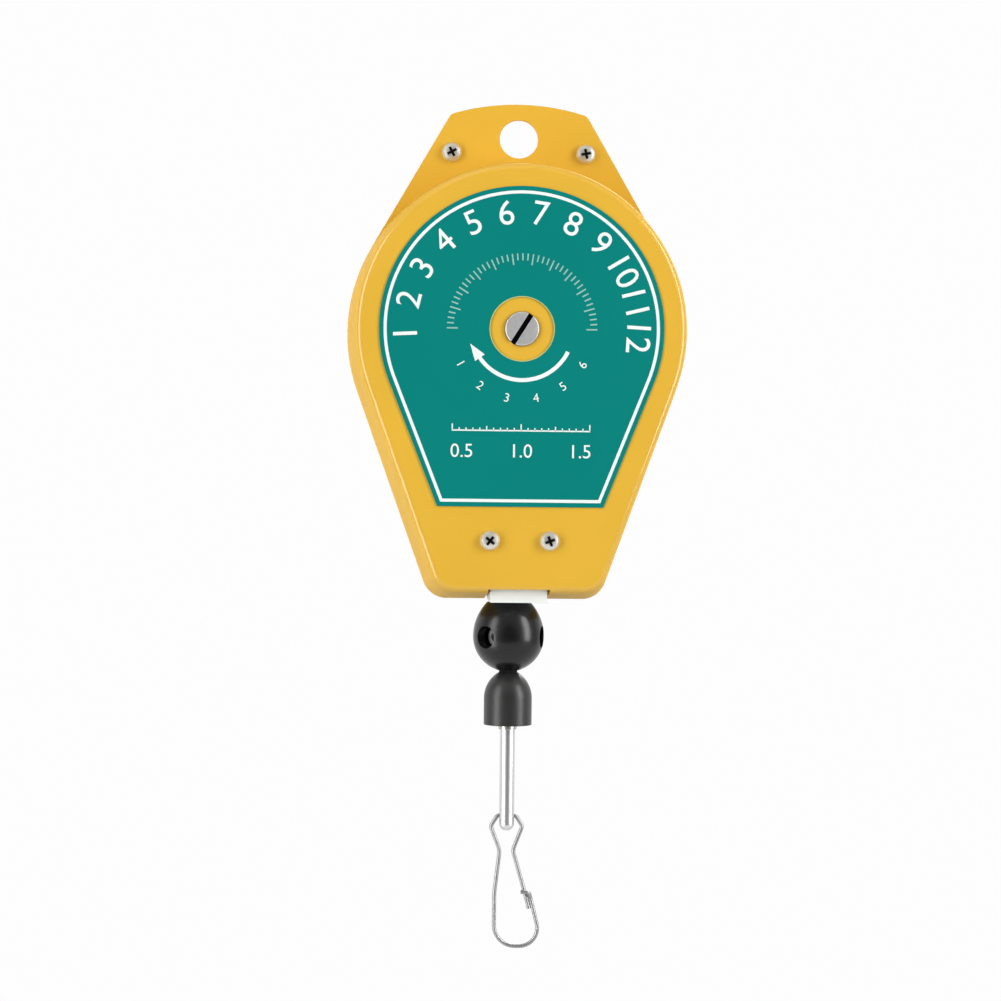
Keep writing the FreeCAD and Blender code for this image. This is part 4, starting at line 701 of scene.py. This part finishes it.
spring_route = eye_round(tab_eye_level, tab_eye_radius, math.radians(-235), 0.0)
coil_steps = coil_turns * turn_steps
for step in range(coil_steps + 1):
    angle = 2 * math.pi * step / turn_steps
    level = coil_foot_level + (coil_top_level - coil_foot_level) * step / coil_steps
    spring_route.append(spring_middle + Vector((coil_radius * math.cos(angle),
                                                coil_radius * math.sin(angle), level)))
spring_route += eye_round(post_eye_level, post_eye_radius, 0.0, math.radians(235))
wound_spring = round_wire("wound_spring", spring_route, spring_wire, blued_spring)
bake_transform(wound_spring)
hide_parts("pawl_spring")

# ---------------------------------------------------------------------------------------------
# Cable. Stranded steel wire rope, laid up right-handed. One length runs down from the guide to
# the ball stop and draws out of the casing as the hook is pulled.

drop_low, drop_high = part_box("cable_drop")
cable_axis = Vector(((drop_low.x + drop_high.x) / 2, (drop_low.y + drop_high.y) / 2, 0))


def strand_finish(name, colour):
    """Steel strands that wind round the cable's own axis."""
    strands, lay, strand_height = 7, 9.0 * MM, 0.12 * MM
    finish, tree, shader = new_finish(name, colour, 0.34, metallic=1.0)
    place = tree.nodes.new("ShaderNodeTexCoord")
    centre = tree.nodes.new("ShaderNodeMapping")
    centre.inputs["Location"].default_value = -cable_axis
    parts = tree.nodes.new("ShaderNodeSeparateXYZ")
    around = sum_of(tree, "ARCTAN2")
    wound = sum_of(tree, "MULTIPLY_ADD")
    wound.inputs[1].default_value = 2 * math.pi * strands / lay
    count = sum_of(tree, "MULTIPLY")
    count.inputs[1].default_value = float(strands)
    wave = sum_of(tree, "SINE")
    dark = map_range(tree, From_Min=-1.0, From_Max=-0.2)
    mix = colour_mix(tree)
    mix.inputs[MIX_A].default_value = (0.08, 0.08, 0.08, 1.0)
    mix.inputs[MIX_B].default_value = (*colour, 1.0)
    bump = tree.nodes.new("ShaderNodeBump")
    bump.inputs["Distance"].default_value = strand_height
    link = tree.links.new
    link(place.outputs["Object"], centre.inputs["Vector"])
    link(centre.outputs["Vector"], parts.inputs["Vector"])
    link(parts.outputs["Y"], around.inputs[0])
    link(parts.outputs["X"], around.inputs[1])
    link(around.outputs[0], count.inputs[0])
    link(parts.outputs["Z"], wound.inputs[0])
    link(count.outputs[0], wound.inputs[2])
    link(wound.outputs[0], wave.inputs[0])
    link(wave.outputs[0], dark.inputs["Value"])
    link(dark.outputs["Result"], mix.inputs["Factor"])
    link(mix.outputs[MIX_RESULT], shader.inputs["Base Color"])
    link(wave.outputs[0], bump.inputs["Height"])
    link(bump.outputs["Normal"], shader.inputs["Normal"])
    return finish


rope_steel = strand_finish("rope_steel", (0.52, 0.52, 0.50))
coat(rope_steel, "cable_tail")
wound_rope = grained("wound_rope", (0.42, 0.42, 0.41), 0.4, scale=1200.0, height=0.00008, metallic=1.0,
                     colour_change=0.8, patch_scale=900.0)
coat(wound_rope, "cable_lead", "cable_windings")
drop = bmesh.new()
cable_radius, cable_steps = 0.75 * MM, 60
rim = bmesh.ops.create_circle(drop, cap_ends=True, radius=cable_radius, segments=32)["verts"]
bmesh.ops.translate(drop, vec=(cable_axis.x, cable_axis.y, drop_high.z), verts=rim)
reach = (drop_low.z - drop_high.z) / cable_steps
ring = list(drop.edges)
for step in range(cable_steps):
    grown = bmesh.ops.extrude_edge_only(drop, edges=ring)
    ring = edges_of(grown)
    bmesh.ops.translate(drop, vec=(0, 0, reach), verts=corners_of(grown))
bmesh.ops.contextual_create(drop, geom=ring)
cable_run = soften(shown("cable_run", drop, rope_steel))
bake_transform(cable_run)
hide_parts("cable_drop")

# ---------------------------------------------------------------------------------------------
# Ball stop. A black moulded ball, clamped to the cable by three cap screws deep in its round
# holes, which press on a steel sleeve inside it.

ball_moulding = grained("ball_moulding", (0.0055, 0.0055, 0.0057), 0.27, scale=600.0,
                        height=0.00002, colour_change=0.5, patch_scale=90.0, Specular_IOR_Level=0.42)
neck_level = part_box("bell_cover")[1].z

# The mould's polish doesn't reach into the crease at the ball's neck, which stays dull.
ball_tree = ball_moulding.node_tree
up_ball = ball_tree.nodes.new("ShaderNodeSeparateXYZ")
crease = map_range(ball_tree, From_Min=neck_level + 0.5 * MM, From_Max=neck_level + 1.1 * MM,
                   To_Min=1.0, To_Max=0.0)
dull = sum_of(ball_tree, "MAXIMUM")
link = ball_tree.links.new
link(ball_tree.nodes["Texture Coordinate"].outputs["Object"], up_ball.inputs["Vector"])
link(up_ball.outputs["Z"], crease.inputs["Value"])
link(crease.outputs["Result"], dull.inputs[0])
link(ball_tree.nodes["Group"].outputs["Roughness"], dull.inputs[1])
link(dull.outputs[0], ball_tree.nodes["Principled BSDF"].inputs["Roughness"])
taken_over("stop_ball", "ball_stopper", ball_moulding, "hanger", 0.28 * MM,
           steps=3, meets_at=neck_level)
caps_low, caps_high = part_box("stopper_screws")
ball_middle = Vector((cable_axis.x, cable_axis.y, (caps_low.z + caps_high.z) / 2))
stem_radius, cap_radius, cap_foot, cap_top = 1.45 * MM, 2.7 * MM, 4.0 * MM, 6.2 * MM
stem_foot, socket_foot, socket_reach, key_radius = 0.85 * MM, 4.9 * MM, 2.0 * MM, 1.45 * MM
caps = bmesh.new()
for third in range(3):
    cap = profile_turned([
        (0, stem_foot), (stem_radius - 0.15 * MM, stem_foot), (stem_radius, stem_foot + 0.15 * MM),
        (stem_radius, cap_foot), (cap_radius - 0.1 * MM, cap_foot), (cap_radius, cap_foot + 0.1 * MM),
        (cap_radius, cap_top - 0.25 * MM), (cap_radius - 0.25 * MM, cap_top), (0, cap_top)])
    screw = shown("cap_blank", cap, zinc_plate)
    hex_key = six_sided_bar(key_radius, socket_foot, socket_reach)
    cut_away(screw, shown("hex_key", hex_key, zinc_plate))
    around = math.radians(-135 + 120 * third)
    screw.data.transform(Matrix.Translation(ball_middle) @ Matrix.Rotation(around, 4, "Z")
                         @ Matrix.Rotation(math.pi / 2, 4, "Y"))
    caps.from_mesh(screw.data)
    bpy.data.objects.remove(screw)
# Painted shade: the clamp screws take the darker steel so that they look shaded deep in the ball's
# holes.
clamp_screws = soften(shown("clamp_screws", caps, turned_steel_and_hole_shade), 30.0)
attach(clamp_screws, "hanger")
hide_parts("stopper_screws")

# ---------------------------------------------------------------------------------------------
# Bell cover and swivel. A black moulded bell hides the swivel's barrel. The barrel's plated
# collar shows at the bell's mouth, and the shank turns in it.

bell_moulding = grained("bell_moulding", (0.021, 0.021, 0.0205), 0.36, scale=600.0,
                        height=0.00003, colour_change=0.6, patch_scale=140.0)
taken_over("bell_cap", "bell_cover", bell_moulding, "hanger", 0.09 * MM,
           meets_at=neck_level)
taken_over("plated_collar", "swivel_collar", zinc_plate, "hanger", 0.18 * MM)
plated_bar = grained("plated_bar", (0.76, 0.76, 0.76), 0.35, scale=900.0, height=0.000006,
                     metallic=1.0, colour_change=0.25, stretch=(1.0, 1.0, 0.12))
taken_over("swivel_bar", "swivel_shank", plated_bar, "shank", 0.25 * MM, steps=3)

# ---------------------------------------------------------------------------------------------
# Snap hook. One length of nickel-plated spring wire: an eye through the shank, a pear-shaped
# bow whose end folds back as a catch, and a gate that springs against the catch.

nickel_wire = grained("nickel_wire", (0.40, 0.40, 0.40), 0.40, scale=1200.0, height=0.000005,
                      metallic=1.0, colour_change=0.3)
wire_radius = 0.6 * MM
hook_axis = Vector((cable_axis.x, cable_axis.y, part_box("hook")[1].z - wire_radius))


def bent_wire(name, corners, finish):
    """A round wire through corners (across, back, up, radius of the bend) from the hook's axis."""
    spots = [Vector((x, y, z)) * MM for x, y, z, bend in corners]
    route = [spots[0] + hook_axis]
    for before, corner, after, (x, y, z, bend) in zip(spots, spots[1:], spots[2:], corners[1:-1]):
        inward, onward = (before - corner).normalized(), (after - corner).normalized()
        half_opening = inward.angle(onward) / 2
        trim = bend * MM / math.tan(half_opening)
        centre = corner + (inward + onward).normalized() * bend * MM / math.sin(half_opening)
        spoke = corner + inward * trim - centre
        sweep = math.pi - 2 * half_opening
        steps = max(4, int(math.degrees(sweep) / 6))
        for step in range(steps + 1):
            turned = Matrix.Rotation(sweep * step / steps, 3, onward.cross(inward)) @ spoke
            route.append(centre + turned + hook_axis)
    route.append(spots[-1] + hook_axis)
    return round_wire(name, route, wire_radius, finish)


# The wire's corners, in millimetres. The gate's wire meets the hook's between the eye and the neck.
eye_side, eye_top_side, eye_drop, neck_side, neck_drop = 4.7, 2.7, 3.2, 1.95, 10.3
bow_left, bow_right, bow_drop, catch_front, catch_drop = 3.45, 10.9, 38.7, 1.35, 22.5
eye_low, neck_spot = Vector((eye_side, 0, -eye_drop)), Vector((neck_side, 0, -neck_drop))
joint_spot = eye_low.lerp(neck_spot, 0.55)
eye_corners = [(*joint_spot, 0), (*eye_low, 1.6), (eye_top_side, 0, 0, 1.4),
               (-eye_top_side, 0, 0, 1.4), (-eye_side, 0, -eye_drop, 1.6),
               (-neck_side, 0, -neck_drop, 5.0)]
bow_corners = [(-bow_left, 0, -23.0, 25.0), (-bow_left, 0, -bow_drop, 6.3),
               (bow_right, 0, -bow_drop, 5.3)]
catch_corners = [(7.3, 0, -24.4, 0.9), (6.7, -catch_front, -catch_drop, 0.9),
                 (4.3, -catch_front, -catch_drop, 0)]
hook_wire = bent_wire("hook_wire", eye_corners + bow_corners + catch_corners, nickel_wire)
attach(hook_wire, "hook")
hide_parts("hook")
gate_wire = bent_wire("gate_wire", [
    (*joint_spot, 0), (*neck_spot, 3.0), (5.7, 0, -23.2, 12.0), (6.85, 0, -27.6, 0)], nickel_wire)
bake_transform(gate_wire)
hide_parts("hook_gate")

# ---------------------------------------------------------------------------------------------
# Studio. A pale floor well below the drawn-out hook and a pale backdrop, with a tall soft lamp on
# each side, a small one above and one behind. The camera stands in front.

paper, paper_tree, paper_shader = new_finish("studio_paper", (0.80, 0.80, 0.80), 0.9)
glow = paper_tree.nodes.new("ShaderNodeEmission")
glow.inputs["Color"].default_value = (0.985, 0.985, 0.985, 1.0)
seen_by = paper_tree.nodes.new("ShaderNodeLightPath")
seen_or_mirrored = sum_of(paper_tree, "MAXIMUM")
seen_at_all = sum_of(paper_tree, "MAXIMUM")
glow_where_seen = paper_tree.nodes.new("ShaderNodeMixShader")
link = paper_tree.links.new
link(seen_by.outputs["Is Camera Ray"], seen_or_mirrored.inputs[0])
link(seen_by.outputs["Is Glossy Ray"], seen_or_mirrored.inputs[1])
link(seen_or_mirrored.outputs[0], seen_at_all.inputs[0])
link(seen_by.outputs["Is Transmission Ray"], seen_at_all.inputs[1])
link(seen_at_all.outputs[0], glow_where_seen.inputs[0])
link(paper_shader.outputs[0], glow_where_seen.inputs[1])
link(glow.outputs[0], glow_where_seen.inputs[2])
link(glow_where_seen.outputs[0], paper_tree.nodes["Material Output"].inputs["Surface"])

floor_level, backdrop_depth, studio_half = -1.45, 1.2, 4.0
floor_shape = bmesh.new()
bmesh.ops.create_grid(floor_shape, x_segments=1, y_segments=1, size=studio_half)
bmesh.ops.translate(floor_shape, vec=(0, 0, floor_level), verts=floor_shape.verts)
studio_floor = shown("studio_floor", floor_shape, paper, smooth=False)
backdrop_shape = bmesh.new()
bmesh.ops.create_grid(backdrop_shape, x_segments=1, y_segments=1, size=studio_half)
bmesh.ops.rotate(backdrop_shape, cent=(0, 0, 0), matrix=Matrix.Rotation(math.pi / 2, 3, "X"),
                 verts=backdrop_shape.verts)
bmesh.ops.translate(backdrop_shape, vec=(0, backdrop_depth, 0), verts=backdrop_shape.verts)
studio_backdrop = shown("studio_backdrop", backdrop_shape, paper, smooth=False)


def soft_box(name, place, aim, wide, high, watts):
    """A rectangular area lamp that faces a point."""
    lamp = bpy.data.lights.new(name, "AREA")
    lamp.shape = "RECTANGLE"
    lamp.energy = watts
    lamp.size, lamp.size_y = wide, high
    holder = bpy.data.objects.new(name, lamp)
    holder.location = place
    holder.rotation_euler = (Vector(aim) - Vector(place)).to_track_quat("-Z", "Y").to_euler()
    bpy.context.scene.collection.objects.link(holder)


middle = (0, 0, -0.1)
soft_box("left_strip", (-0.80, -0.50, -0.05), middle, 0.38, 1.3, 8.0)
soft_box("right_strip", (0.80, -0.47, 0.12), middle, 0.32, 0.95, 7.7)
soft_box("top_light", (-0.25, -0.35, 0.85), middle, 0.5, 0.5, 0.6)
soft_box("back_light", (0.3, 0.8, 0.5), middle, 0.6, 0.6, 6.0)

# The studio is white all round, but for the dark gap where the camera stands.
sky = bpy.data.worlds.new("studio_air")
sky.use_nodes = True
sky_tree = sky.node_tree
air = sky_tree.nodes["Background"]
air.inputs["Color"].default_value = (1, 1, 1, 1)
towards = sky_tree.nodes.new("ShaderNodeTexCoord")
direction = sky_tree.nodes.new("ShaderNodeSeparateXYZ")
camera_gap = map_range(sky_tree, From_Min=-0.94, From_Max=-0.80, To_Min=0.08, To_Max=0.52)
seen = sky_tree.nodes.new("ShaderNodeLightPath")
strength = sum_of(sky_tree, "MAXIMUM")
link = sky_tree.links.new
link(towards.outputs["Generated"], direction.inputs["Vector"])
link(direction.outputs["Y"], camera_gap.inputs["Value"])
link(camera_gap.outputs["Result"], strength.inputs[0])
link(seen.outputs["Is Camera Ray"], strength.inputs[1])
link(strength.outputs[0], air.inputs["Strength"])
bpy.context.scene.world = sky
bpy.context.scene.view_settings.view_transform = "Standard"

camera_lens = bpy.data.cameras.new("camera")
camera_lens.lens = 83.5
camera_lens.sensor_width = 36.0
camera = bpy.data.objects.new("camera", camera_lens)
looks_across, camera_tilt, camera_distance = math.radians(-3.0), math.radians(0.6), 0.70
aim_point = Vector((-4.4 * MM, 0, -108.9 * MM))
backwards = Vector((math.sin(looks_across), -math.cos(looks_across), 0))
camera.location = aim_point + camera_distance * backwards
camera.rotation_mode = "QUATERNION"
camera.rotation_quaternion = ((aim_point - camera.location).to_track_quat("-Z", "Y")
                              @ Matrix.Rotation(camera_tilt, 4, "Z").to_quaternion())
bpy.context.scene.collection.objects.link(camera)
bpy.context.scene.camera = camera
